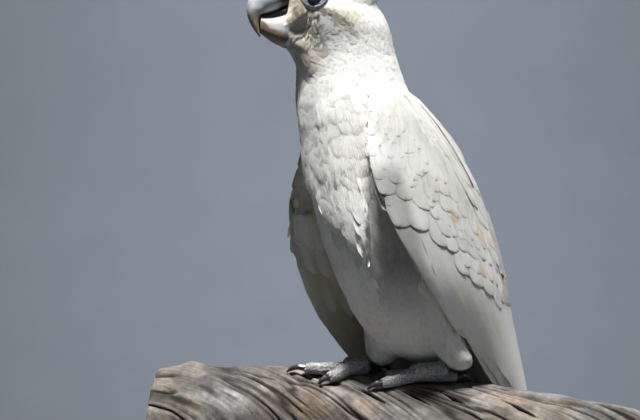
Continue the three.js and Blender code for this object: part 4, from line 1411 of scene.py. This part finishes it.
def make_eye_ring(side):
    """Lids over the eyeball, and the wrinkled bare skin round them, wider below the eye."""
    hand = SIDES[side]
    radii, count = np.array(RING_STATIONS), 120
    around = np.linspace(0, 2 * math.pi, count, endpoint=False)
    radius, angle = np.meshgrid(radii, around, indexing="ij")
    stretch = ease((radius - LID) / 5)
    below = np.clip(-np.sin(angle), 0, 1)
    forward = radius * np.cos(angle) * (1.04 - 0.1 * stretch)
    up = radius * np.sin(angle) * (0.93 - 0.1 * stretch + 0.24 * stretch * below)

    # Over the eyeball near the lids, and on the cheek's skin farther out.
    inside = np.clip((EYE_RADIUS + 0.3) ** 2 - forward**2 - up**2, 1, None)
    sphere = EYE_ASIDE + np.sqrt(inside)
    cheek = np.zeros_like(radius)
    for i in np.ndindex(radius.shape):
        reach = max(1.0, 9.8 / math.hypot(forward[i], up[i]))
        start = head_point(forward[i] * reach, 45 * hand, up[i] * reach)
        hit = skin_tree.ray_cast(Vector(start), Vector(-ASIDE * hand))
        cheek[i] = (np.array(hit[0]) - EYE_MIDPOINT) @ ASIDE * hand if hit[0] else 22
    out = sphere + (cheek + 0.6 - sphere) * np.clip((radius - 4.2) / 5.2, 0, 1) ** 0.85
    rim = bell(radius, LID, 0.45)
    out += 0.22 * rim + np.where(radius < 4.3, 0.25 * (radius - 4.3), 0)

    # Folds that run round the eye, broken by noise, and beads on the lids.
    flat = np.stack([forward.ravel(), up.ravel(), 0 * up.ravel()], 1)
    swirl = noise(flat, 2.3, 7 + hand).reshape(radius.shape)
    broken = noise(flat, 1.3, 17 + hand).reshape(radius.shape)
    folds = np.sin(2 * math.pi * (radius + 0.55 * swirl + 0.2 * broken) / 1.5)
    out += (0.12 * folds + 0.12 * broken) * ease((radius - 4.8) / 1.0) * ease((10.4 - radius) / 1.5)
    out -= 0.8 * ease((radius - 9.4) / 1.2)
    out += 0.07 * np.sin(angle * 34 + 2 * swirl) * rim
    points = EYE_MIDPOINT + forward[..., None] * FORWARD + up[..., None] * UP
    points = points + (out * hand)[..., None] * ASIDE

    shade = ease((folds + 0.7 * broken - 0.35) / 0.9) * (0.6 + 0.4 * swirl)
    tint = blend(srgb(74, 80, 98), srgb(168, 176, 190), np.clip(shade, 0, 1))
    tint = blend(tint, srgb(206, 206, 202), 0.7 * ease((radius - 9.2) / 1.0))
    tint = tint * (1 - 0.55 * bell(radius, 3.9, 0.35))[..., None]
    quads = polar_faces(len(radii), count, hand)
    ring = make_mesh(
        f"eye_ring_{side}", points.reshape(-1, 3), quads, (), BARE_SKIN, tint.reshape(-1, 3)
    )
    thick = ring.modifiers.new("thickness", "SOLIDIFY")
    thick.thickness = 0.5 * MM
    thick.offset = -1
    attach(ring, "root")


wrinkles = (1500, 4, 0.6), (0.85, 1.05, 900), (0.5, 0.7), (0.35, 0.0003)
BARE_SKIN = grained("eye_ring_skin", *wrinkles, Specular_IOR_Level=0.35)
for side in SIDES:
    make_eye(side)
    make_eye_ring(side)

# ---- Bill ------------------------------------------------------------------------------------

# [forward, up] of the upper half's ridge and cutting edge, with its half widths; then the lower
# half's.
CULMEN = [[8, 9], [20, 10.4], [30, 7.6], [37.2, 0.6], [39.9, -8.5], [38.3, -17.3], [35, -23.2],
          [31.9, -27.4]]  # fmt: skip
CUTTING_EDGE = [[5, -7.2], [13, -8.6], [19, -10.4], [25.5, -12.4], [30.6, -13.4], [32.2, -16.2],
                [32, -22.5], [31.4, -27.1]]  # fmt: skip
UPPER_WIDTHS = [[9.2], [9.6], [9.2], [7.4], [5.8], [4], [2.4], [0.8]]
LOWER_EDGE = [[5, -9], [13, -10.8], [19.5, -13.6], [25.5, -14.9], [31.9, -14.6]]
GONYS = [[5, -32], [13, -34], [20.5, -32], [26, -28.7], [31.9, -24.4]]
LOWER_WIDTHS = [[9], [9.3], [8.4], [6.7], [4.2]]


def bill_rings(upper, lower, widths, squareness, steps, sides):
    """Points of a bill half, and each one's share along it and angle round it."""
    t = np.linspace(0, 1, steps)
    top, bottom, width = between(upper, t), between(lower, t), between(widths, t)[:, 0]
    angle = np.linspace(0, 2 * math.pi, sides, endpoint=False)
    x, y = (np.sign(c) * np.abs(c) ** (2 / squareness) for c in (np.cos(angle), np.sin(angle)))
    middle, half = (top + bottom) / 2, (top - bottom) / 2
    forward = middle[:, :1] + half[:, :1] * y
    up = middle[:, 1:] + half[:, 1:] * y
    grid = np.stack([forward, width[:, None] * x, up], -1)
    return grid, np.broadcast_to(t[:, None], forward.shape), np.broadcast_to(angle, forward.shape)


def bill_piece(name, grid, tint, nodes):
    flat = np.concatenate([grid.reshape(-1, 3), [grid[0].mean(0), grid[-1].mean(0)]])
    points = EYE_MIDPOINT + flat[:, :1] * FORWARD + flat[:, 1:2] * ASIDE + flat[:, 2:] * UP
    quads, fans = outward(points, *closed_tube(*grid.shape[:2]))
    tint = np.concatenate([tint.reshape(-1, 3), tint[:1, 0], tint[-1:, 0]])
    piece = make_mesh(name, points, quads, fans, HORN, tint)
    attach(piece, "root")
    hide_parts(*nodes)


def make_upper_bill():
    grid, t, angle = bill_rings(CULMEN, CUTTING_EDGE, UPPER_WIDTHS, 2.2, 76, 56)
    flat = grid.reshape(-1, 3)
    layers = noise(flat * [0.35, 1, 1.0], 1.6, 12).reshape(t.shape)
    worn = noise(flat, 4.5, 13).reshape(t.shape)
    keel = 0.25 * bell(angle, math.pi / 2, 0.22) * ease((t - 0.2) / 0.3) * ease((0.95 - t) / 0.1)
    growth = 0.06 * np.sin(2 * math.pi * (t * 34 + 0.8 * worn)) * ease((0.75 - t) / 0.3)
    raised = 0.09 * layers + 0.14 * worn + keel + growth * np.abs(np.cos(angle))
    grid = grid + unit(grid - grid.mean(1, keepdims=True)) * raised[..., None]
    up, forward = grid[..., 2], grid[..., 0]
    brown = srgb(132, 114, 90)
    tint = blend(srgb(186, 190, 194), srgb(168, 160, 142), ease((t - 0.45) / 0.35))
    stain = np.clip(ease((-6.0 - up) / 8) * (0.5 + 0.6 * worn) + 0.3 * layers, 0, 1)
    tint = blend(tint, brown, 0.6 * stain)
    base = ease((23.4 - forward + 0.08 * (up + 3)) / 4.5 + 0.3 * worn)
    tint = blend(tint, srgb(44, 38, 38), base)
    edge = ease((-9.5 - up + 0.42 * (19 - forward)) / 1.6) * ease((31 - forward) / 3)
    tint = blend(tint, brown, 0.45 * edge)
    tint = blend(tint, srgb(58, 48, 40), ease((t - 0.9) / 0.07 + 0.3 * worn))
    front = ease((t - 0.55) / 0.25) * bell(angle, math.pi / 2, 0.5)
    bill_piece("bill_upper_horn", grid, tint * (1 - 0.55 * front)[..., None], ["bill_upper"])


def make_lower_bill():
    grid, t, _ = bill_rings(LOWER_EDGE, GONYS, LOWER_WIDTHS, 2.5, 44, 48)
    flat = grid.reshape(-1, 3)
    layers = noise(flat * [0.4, 1, 1.0], 1.7, 14).reshape(t.shape)
    worn = noise(flat, 4.0, 15).reshape(t.shape)
    raised = 0.1 * layers + 0.12 * worn
    grid = grid + unit(grid - grid.mean(1, keepdims=True)) * raised[..., None]
    up, forward = grid[..., 2], grid[..., 0]
    # The underside and the front are brown: partly the horn's own colour, partly painted shade.
    scoop = np.interp(forward, [15, 26, 31, 33], [-24.5, -21, -15.5, -13])
    under = ease((scoop - up + 0.8 * worn) / 2.0)
    tint = blend(srgb(176, 176, 176), srgb(112, 94, 78), under)
    tint = blend(tint, srgb(128, 106, 78), 0.8 * ease((forward - 30.6 + 0.5 * worn) / 1.2))
    tint = blend(tint, srgb(96, 90, 92), 0.6 * ease((18.5 - forward + 0.9 * worn) / 2.5))
    bill_piece("bill_lower_horn", grid, tint, ["bill_lower"])


# [forward, up, half width, half height] of the tongue and the dark inside of the mouth
TONGUE = [[8, -8, 6.5, 4.4], [16, -11.0, 6.2, 3.4], [23, -13.0, 5.2, 2.6], [31.3, -14.4, 3.0, 1.7]]


def make_tongue():
    forward, up, wide, high = between(TONGUE, np.linspace(0, 1, 16)).T[..., None]
    turns = np.linspace(0, 2 * math.pi, 20, endpoint=False)
    up = up + high * np.sin(turns) + 0.2 * np.sin(turns * 5)
    grid = np.stack([forward + 0 * turns, wide * np.cos(turns), up], -1)
    bill_piece("tongue", grid, srgb(38, 32, 32) * np.ones((*up.shape, 1)), [])


def make_cheeks():
    """Feathers that puff out from the cheeks and the chin, down and forward over the bill."""
    forward, aside, up = in_head(face_middles)
    cheek = (skin_part == "head") & (forward > -4) & (up < -7) & (up > -31) & (np.abs(aside) > 6)
    roots = scattered(cheek & off_eyes(face_middles, EYE_RING + 0.6), even(1.5), 45)
    forward, aside, up = in_head(roots)
    ahead = (0.35 + 0.5 * ease((forward - 3) / 10))[:, None]
    flow = unit(FORWARD * ahead - UP * 0.8 + ASIDE * np.sign(aside)[:, None] * 0.1)
    draw = np.random.default_rng(46)
    puff = ease((forward + 4) / 7) * draw.uniform(0.7, 1.3, len(roots))
    out = unit(roots - head_point(0, 0, -20)) * [1, 1, 0.2] + 0.15 * FORWARD
    tree = tree_of(skin, *(bpy.data.objects[f"bill_{half}_horn"] for half in ("upper", "lower")))
    size = 1.3 + 0.3 * draw.random(len(roots))
    batches = loose(
        tree, roots, flow, size, 4.2, 0.8, 0.14, 0.08, 10, unwrapped_head, 47,
        yaw=0.3, hang=out * (0.8 * puff)[:, None], frayed=0.4, slim=0.6,
    )  # fmt: skip
    coat_piece("coat_cheeks", batches, contour)


grain = (500, 5, 0.6), (0.86, 1.08, 240, 5), (0.34, 0.52), (0.25, 0.0003)
gloss = {"Specular_IOR_Level": 0.4, "Coat_Weight": 0.12, "Coat_Roughness": 0.3}
HORN = grained("bill_horn", *grain, **gloss)
make_upper_bill()
make_lower_bill()
make_tongue()
make_cheeks()

# ---- Feet ------------------------------------------------------------------------------------

CLAW_NAMES = ("inner_front", "outer_front", "outer_back", "inner_back")


def claw_material():
    n = Nodes("claw_horn", Specular_IOR_Level=0.5, Coat_Weight=0.2, Coat_Roughness=0.25)
    grain = n.noise(0.9, 4, 0.6, n.stretched((300, 300, 900)))
    colour = n.ramp(grain, (0.3, srgb(26, 26, 29)), (0.75, srgb(64, 64, 68)))
    return n.finish(colour, n.grey(grain, 0.28, 0.45))


def make_foot(side):
    foot = remeshed(f"foot_{side}_scales", [f"foot_{side}"], 0.42, 10)
    points, normals = points_of(foot.data), normals_of(foot.data)
    nearest, second = cells(points * [1, 1, 1.15], 1.75, 3)
    scute = ease((second - nearest) / 0.34)
    rough = noise(points, 0.7, 6)
    points = points + normals * (0.38 * scute - 0.1 + 0.06 * rough)[:, None]
    moved(foot, points)
    mottle = ease(0.5 + 0.8 * noise(points, 3.0, 8))[:, None]
    tint = blend(srgb(128, 129, 134) * (0.8 + 0.4 * mottle), srgb(194, 192, 192), 0.7 * (1 - scute))
    tint = blend(tint, srgb(150, 136, 118), 0.25 * ease(0.3 + noise(points, 5.0, 10)))
    set_tint(foot.data, tint)
    set_material(foot, FOOT_SKIN)
    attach(foot, "root")
    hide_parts(f"foot_{side}")
    claws = [f"claw_{side}_{name}" for name in CLAW_NAMES]
    horns = remeshed(f"claws_{side}", claws, 0.3, 8)
    set_material(horns, CLAW_HORN)
    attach(horns, "root")
    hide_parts(*claws)


grain = (1400, 3, 0.6), (0.85, 1.1, 800), (0.5, 0.72), (0.3, 0.0003)
FOOT_SKIN = grained("foot_scales", *grain, Specular_IOR_Level=0.4)
CLAW_HORN = claw_material()
for side in SIDES:
    make_foot(side)

# ---- Perch -----------------------------------------------------------------------------------

PERCH_RADIUS, PERCH_LENGTH, PERCH_MIDDLE = 34, 316, -10
PERCH_AXIS_AT = np.array([-1.6, 1.2, 1 - PERCH_RADIUS])
PERCH_YAW = math.radians(45)
PERCH_CREST, PERCH_BEND = -100, 4.4e-4
PERCH_ALONG = np.array([math.cos(PERCH_YAW), math.sin(PERCH_YAW), 0])
PERCH_ASIDE = np.array([-math.sin(PERCH_YAW), math.cos(PERCH_YAW), 0])
PERCH_SIDES, PERCH_STEPS = 300, 400
END_RINGS = (0.96, 0.85, 0.72, 0.58, 0.44, 0.3, 0.17, 0.07)  # shares of a cut end's radius
KNOB = -146, 9, 78, 0.24, 4.5  # along, its spread, degrees round, its spread, height

# Deep cracks: [along, round the branch from its top towards the camera's side, half length,
# half width]
WEDGES = [(30, 28, 9, 3.4), (48, 14, 15, 1.8), (72, 29, 13, 2.6), (-62, 22, 12, 1.6),
          (-100, 14, 16, 1.8), (6, 31, 12, 1.8), (104, 17, 14, 2.0), (-24, 32, 14, 1.6),
          (60, -18, 16, 2.2), (-90, -20, 14, 2.0)]  # fmt: skip


def perch_radius(angle, along):
    s = along / PERCH_LENGTH
    lumps = (
        0.025 * np.sin(2 * angle + 1 + 2.2 * s)
        + 0.02 * np.sin(3 * angle - 4.1 * s)
        + 0.015 * np.sin(5 * angle + 7 * s + 2)
    )
    swell = 0.05 * bell(angle, math.radians(68), math.radians(26))
    hollow = 0.08 * bell(angle, math.radians(122), math.radians(30))
    return PERCH_RADIUS * (1 + lumps - 0.06 * s + swell - hollow)


def perch_axis(along):
    fall = PERCH_BEND * ((along - PERCH_CREST) ** 2 - PERCH_CREST**2)
    return PERCH_AXIS_AT + PERCH_ALONG * along[..., None] - UP * fall[..., None]


def round_perch(angle):
    """Millimetres round the branch from its top."""
    return PERCH_RADIUS * 2 * np.sin((angle - math.radians(90)) / 2)


def bark_relief(angle, along):
    """How far bark stands off the branch, and how cracked, bare and grained each point is."""
    turn, aside = angle - math.radians(90), round_perch(angle)
    slant = np.radians(62 + 8 * np.sin(along / 60))
    cross = aside * np.sin(slant) - along * np.cos(slant)
    run = aside * np.cos(slant) + along * np.sin(slant)

    def field(width, length, seed, layer=0.0):
        """Noise in lumps so wide and so long, along the bark's grain."""
        return noise(np.stack([cross / width, run / length, 0 * run + layer], 1), 1.0, seed)

    cross = cross + 2.6 * field(16, 40, 20) + 0.8 * field(5, 12, 28)

    def veins(width, length, seed, thin):
        return ease(1 - np.abs(field(width, length, seed, 3.1)) / thin)

    def patches(width, length, seed, start, sharp):
        return ease(start + sharp * field(width, length, seed, 1.7))

    crack = veins(7, 90, 21, 0.17) * patches(18, 60, 24, 0.5, 1.8)
    hair = veins(3.2, 50, 22, 0.28) * patches(9, 30, 25, 0.45, 1.6)
    crack = np.maximum(crack, 0.75 * hair)
    plate = patches(8, 70, 23, 0.5, 3.4)
    grain, lumps = field(0.9, 14, 26), field(6, 26, 27)
    feet = bell(along, 0, 62) * bell(turn, 0, 0.9)
    wedge = np.zeros(len(along))
    for middle, side_at, length, width in WEDGES:
        s = (along - middle) / length
        narrowed = width * np.clip(1 - np.abs(s), 0.05, 1)
        off = (aside - side_at - 0.5 * (along - middle)) / narrowed
        wedge = np.maximum(wedge, ease(1.2 * (1 - np.abs(off))) * (np.abs(s) < 1))
    deep = np.maximum(2.6 * crack * (1 - 0.5 * feet), 4.5 * wedge)
    relief = 0.7 * (plate - 1) + 0.2 * grain + 0.45 * lumps * (1 - feet) - deep
    return relief, np.maximum(crack, wedge), 1 - plate, grain


def bark_tint(points, along, aside, crack, bare, grain):
    """Weathered grey and tan, rusty and pale where bare, with a rust streak, a trodden patch and
    painted shade in the cracks.
    """
    rust = srgb(142, 114, 90)
    patch = ease(0.5 + 1.3 * noise(points, 34.0, 30))
    tint = blend(srgb(122, 120, 118), srgb(126, 116, 104), 0.6 * patch)
    old = 1.8 * noise(points, 26.0, 31)
    tint = blend(tint, rust, 0.35 * bare * ease(-0.35 + old))
    tint = blend(tint, srgb(164, 162, 160), 0.6 * bare * ease(-0.1 - old))
    streak = bell(aside, 15 + 0.25 * (along - 4), 2.6) * ease((22 - np.abs(along - 4)) / 10)
    tint = blend(tint, rust, 0.75 * streak * (0.6 + 0.4 * grain))
    trodden = bell(along, -42, 24) * bell(aside, 14, 8)
    tint = blend(tint, srgb(190, 186, 178), 0.8 * trodden * (0.65 + 0.35 * grain))
    dusk = ease(0.5 + 1.5 * noise(points, 11.0, 32))[:, None]
    tint = tint * (0.66 + 0.46 * dusk) * (1 + 0.32 * grain[:, None])
    # The cracks are painted near black: painted shade in their depths.
    return blend(tint, srgb(20, 18, 17), np.clip(1.15 * crack, 0, 1))


def make_perch():
    ring = np.linspace(0, 2 * math.pi, PERCH_SIDES, endpoint=False)
    line = PERCH_MIDDLE + PERCH_LENGTH * (np.linspace(0, 1, PERCH_STEPS) - 0.5)
    along, angle = np.meshgrid(line, ring, indexing="ij")
    relief, crack, bare, grain = bark_relief(angle.ravel(), along.ravel())
    knob_at, knob_long, knob_turn, knob_wide, knob_high = KNOB
    knob = bell(along, knob_at, knob_long) * bell(angle, math.radians(knob_turn), knob_wide)
    relief = relief.reshape(angle.shape) + knob_high * knob
    radius = perch_radius(angle, along) + relief + 0.1
    radius = radius - 1.5 * np.exp(-np.minimum(along - line[0], line[-1] - along) / 1.2)
    points = perch_axis(along) + (np.cos(angle) * radius)[..., None] * PERCH_ASIDE
    flat = (points + (np.sin(angle) * radius)[..., None] * UP).reshape(-1, 3)
    aside = round_perch(angle.ravel())
    rings, tints = [flat], [bark_tint(flat, along.ravel(), aside, crack, bare, grain)]
    quads, fans, count = [ring_faces(PERCH_STEPS, PERCH_SIDES)], [], len(flat)

    # Each cut end: rings of wood, drawn in to the middle.
    for end, first in ((0, 0), (-1, count - PERCH_SIDES)):
        middle = perch_axis(line[[end]])[0]
        last = np.arange(first, first + PERCH_SIDES)
        outer = flat[last]
        for k, share in enumerate(END_RINGS):
            wood = middle + (outer - middle) * share
            rings.append(wood + PERCH_ALONG * (noise(wood, 3.0, 33) * 0.25)[:, None])
            rays = noise(np.stack([ring / 0.14, 0 * ring, 0 * ring + k], 1), 1.0, 34)
            shade = 0.75 + 0.2 * (k % 2) + 0.2 * (0.5 + 0.5 * rays[:, None])
            tints.append(srgb(150, 128, 98) * shade)
            now = np.arange(count, count + PERCH_SIDES)
            faces = np.stack([last, now, np.roll(now, -1), np.roll(last, -1)], -1)
            quads.append(faces[:, ::-1] if end else faces)
            count += PERCH_SIDES
            last = now
        rings.append(middle[None])
        tints.append(srgb(110, 88, 62)[None])
        fan = np.stack([np.full(PERCH_SIDES, count), np.roll(last, -1), last], -1)
        fans.append(fan[:, ::-1] if end else fan)
        count += 1
    points = np.concatenate(rings)
    quads, fans = outward(points, np.concatenate(quads), np.concatenate(fans))
    fine = (420, 6, 0.7), (0.7, 1.15, 260, 6), (0.82, 0.98), (0.7, 0.0012)
    bark = grained("bark", *fine, Specular_IOR_Level=0.15)
    perch = make_mesh("perch_bark", points, quads, fans, bark, np.concatenate(tints))
    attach(perch, "root")
    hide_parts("perch")


make_perch()

# ---- Stand -----------------------------------------------------------------------------------


def turned_piece(node, profile, middle, material, sides):
    """A piece turned on an upright axis, from [radius, up] rows, closed at both ends."""
    radius, up = np.array(profile, float).T[..., None]
    angle = np.linspace(0, 2 * math.pi, sides, endpoint=False)
    x, y = radius * np.cos(angle) + middle[0], radius * np.sin(angle) + middle[1]
    grid = np.stack([x, y, up + 0 * angle], -1)
    ends = [[middle[0], middle[1], up[0, 0]], [middle[0], middle[1], up[-1, 0]]]
    points = np.concatenate([grid.reshape(-1, 3), ends])
    quads, fans = outward(points, *closed_tube(len(up), sides))
    piece = make_mesh(f"{node}_turned", points, quads, fans, material, crease=35)
    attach(piece, "root")
    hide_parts(node)


def round_node(node):
    """The middle, radius, bottom and top of an upright round node."""
    low, high = (np.array(corner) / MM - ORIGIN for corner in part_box(node))
    return (low + high) / 2, (high[0] - low[0]) / 2, low[2], high[2]


def make_base():
    middle, r, bottom, top = round_node("stand_base")
    profile = [(r - 1.2, bottom), (r, bottom + 1.2), (r, top - 5)]
    bead = np.linspace(0.2, 1.5, 8)
    profile += [(r - 3.5 + 3.5 * math.cos(a), top - 5 + 3.2 * math.sin(a)) for a in bead]
    profile += [(r - 4.2, top - 1.8), (r - 5.0, top - 1.6), (r - 6.5, top - 0.3), (r - 7.5, top)]
    profile += [(inner, top) for inner in np.linspace(r - 12, 4, 12)]
    n = Nodes("base_wood", Specular_IOR_Level=0.4, Coat_Weight=0.25, Coat_Roughness=0.25)
    figure = n.noise(1.0, 5, 0.6, n.stretched((9, 90, 90)))
    dark, mid, light = srgb(64, 42, 28), srgb(96, 66, 44), srgb(120, 86, 58)
    colour = n.ramp(figure, (0.25, dark), (0.5, mid), (0.78, light))
    wood = n.finish(colour, n.grey(figure, 0.32, 0.48), n.bump(figure, 0.15, 0.0004))
    turned_piece("stand_base", profile, middle, wood, 96)


def make_rods():
    n = Nodes("rod_steel", Metallic=1.0)
    brushed = n.noise(1.0, 3, 0.6, n.stretched((1400, 1400, 40)))
    colour = n.ramp(brushed, (0.3, (0.42, 0.42, 0.42)), (0.7, (0.56, 0.56, 0.55)))
    steel = n.finish(colour, n.grey(brushed, 0.26, 0.4))
    for where in ("front", "back"):
        middle, r, foot, head = round_node(f"stand_rod_{where}")
        profile = [(r + 4.5, foot), (r + 4.5, foot + 1.4), (r + 3.8, foot + 2.1)]
        profile += [(r + 1.2, foot + 2.5), (r + 0.4, foot + 3.2), (r, foot + 4.2)]
        profile += [(r, head - 1.0), (r - 1.0, head)]
        turned_piece(f"stand_rod_{where}", profile, middle, steel, 48)


make_base()
make_rods()

# ---- Staging ---------------------------------------------------------------------------------

CAMERA_AZIMUTH, CAMERA_ELEVATION, CAMERA_DISTANCE = 55, -4, 2400
SENSOR = 36
PIXELS_PER_MM = 1.55
ORIGIN_IN_PICTURE = (412, 375)
PICTURE = (640, 420)
# The floor, in metres: how near and far it reaches, the backdrop's bend, its top, and half width
FLOOR_NEAR, FLOOR_FAR, BEND, BACKDROP_TOP, FLOOR_HALF = -9.0, 7.0, 1.2, 6.0, 9


def direction(azimuth, elevation):
    a, e = math.radians(azimuth), math.radians(elevation)
    return np.array([math.sin(a) * math.cos(e), -math.cos(a) * math.cos(e), math.sin(e)])


def add_camera():
    back, right = direction(CAMERA_AZIMUTH, CAMERA_ELEVATION), direction(CAMERA_AZIMUTH + 90, 0)
    up = np.cross(back, right)
    aside = (ORIGIN_IN_PICTURE[0] - PICTURE[0] / 2) / PIXELS_PER_MM
    below = (PICTURE[1] / 2 - ORIGIN_IN_PICTURE[1]) / PIXELS_PER_MM
    data = bpy.data.cameras.new("camera")
    data.sensor_width = SENSOR
    data.lens = SENSOR * PIXELS_PER_MM * CAMERA_DISTANCE / PICTURE[0]
    data.clip_end = 20
    camera = linked("camera", data)
    pose = Matrix((right, up, back)).transposed().to_4x4()
    pose.translation = Vector(to_row(back * CAMERA_DISTANCE - right * aside - up * below))
    camera.matrix_world = pose
    bpy.context.scene.camera = camera


def add_light(name, azimuth, elevation, distance, size, power, colour, spread,
              middle=(0, 0, 0.24), target=None):  # fmt: skip
    """A round soft lamp in a direction from a middle, in metres, turned to it or to a target."""
    data = bpy.data.lights.new(name, "AREA")
    data.shape = "DISK"
    data.size = size
    data.energy = power
    data.color = colour
    data.spread = math.radians(spread)
    lamp = linked(name, data)
    lamp.location = Vector(middle) + Vector(direction(azimuth, elevation)) * distance
    aim = lamp.location - Vector(target or middle)
    lamp.rotation_euler = aim.to_track_quat("Z", "Y").to_euler()


def add_floor():
    """A pale floor that sweeps up into a backdrop, behind the bird as the camera sees it."""
    n = Nodes("studio_paper", Roughness=0.9, Specular_IOR_Level=0.1)
    material = n.finish(n.ramp(n.noise(6, 4), (0.3, (0.35, 0.37, 0.4)), (0.7, (0.37, 0.39, 0.42))))
    mesh = bpy.data.meshes.new("floor")
    shell = bmesh.new()
    rows = [(FLOOR_NEAR, 0.0), (FLOOR_FAR, 0.0)]
    bend = np.linspace(0.1, math.pi / 2, 12)
    rows += [(FLOOR_FAR + BEND * math.sin(t), BEND - BEND * math.cos(t)) for t in bend]
    rows += [(FLOOR_FAR + BEND, BACKDROP_TOP)]
    away = -Vector(direction(CAMERA_AZIMUTH, 0))
    aside, edges = Vector(direction(CAMERA_AZIMUTH + 90, 0)), (-FLOOR_HALF, FLOOR_HALF)
    lines = [
        [shell.verts.new(away * out + aside * x + Vector((0, 0, up))) for x in edges]
        for out, up in rows
    ]
    for (p, q), (r, s) in zip(lines, lines[1:]):
        shell.faces.new((p, q, s, r)).smooth = True
    shell.to_mesh(mesh)
    shell.free()
    mesh.materials.append(material)
    linked("floor", mesh)


add_camera()
add_floor()
COOL = (0.9, 0.95, 1.0)
add_light("key", 41, 67, 2.2, 0.34, 2.1, (1.0, 0.99, 0.965), 20)
add_light("side", 105, 42, 2.2, 0.5, 0.1, (0.95, 0.98, 1.0), 22)
add_light("backdrop", 235, 0, 5.5, 1.5, 34, (0.85, 0.92, 1.0), 120, (0, 0, 2.5), (-6.4, 4.5, 0.9))
for azimuth in (55, 145, 235, 325):
    floor_at = direction(azimuth, 0) * 1.7
    add_light(f"floor_{azimuth}", azimuth, 90, 2.2, 1.0, 9, COOL, 60, floor_at)
world = bpy.data.worlds.new("studio")
bpy.context.scene.world = world
world.use_nodes = True
background = world.node_tree.nodes["Background"]
background.inputs["Color"].default_value = (0.62, 0.68, 0.78, 1)
background.inputs["Strength"].default_value = 0.03
bpy.context.scene.view_settings.view_transform = "Standard"
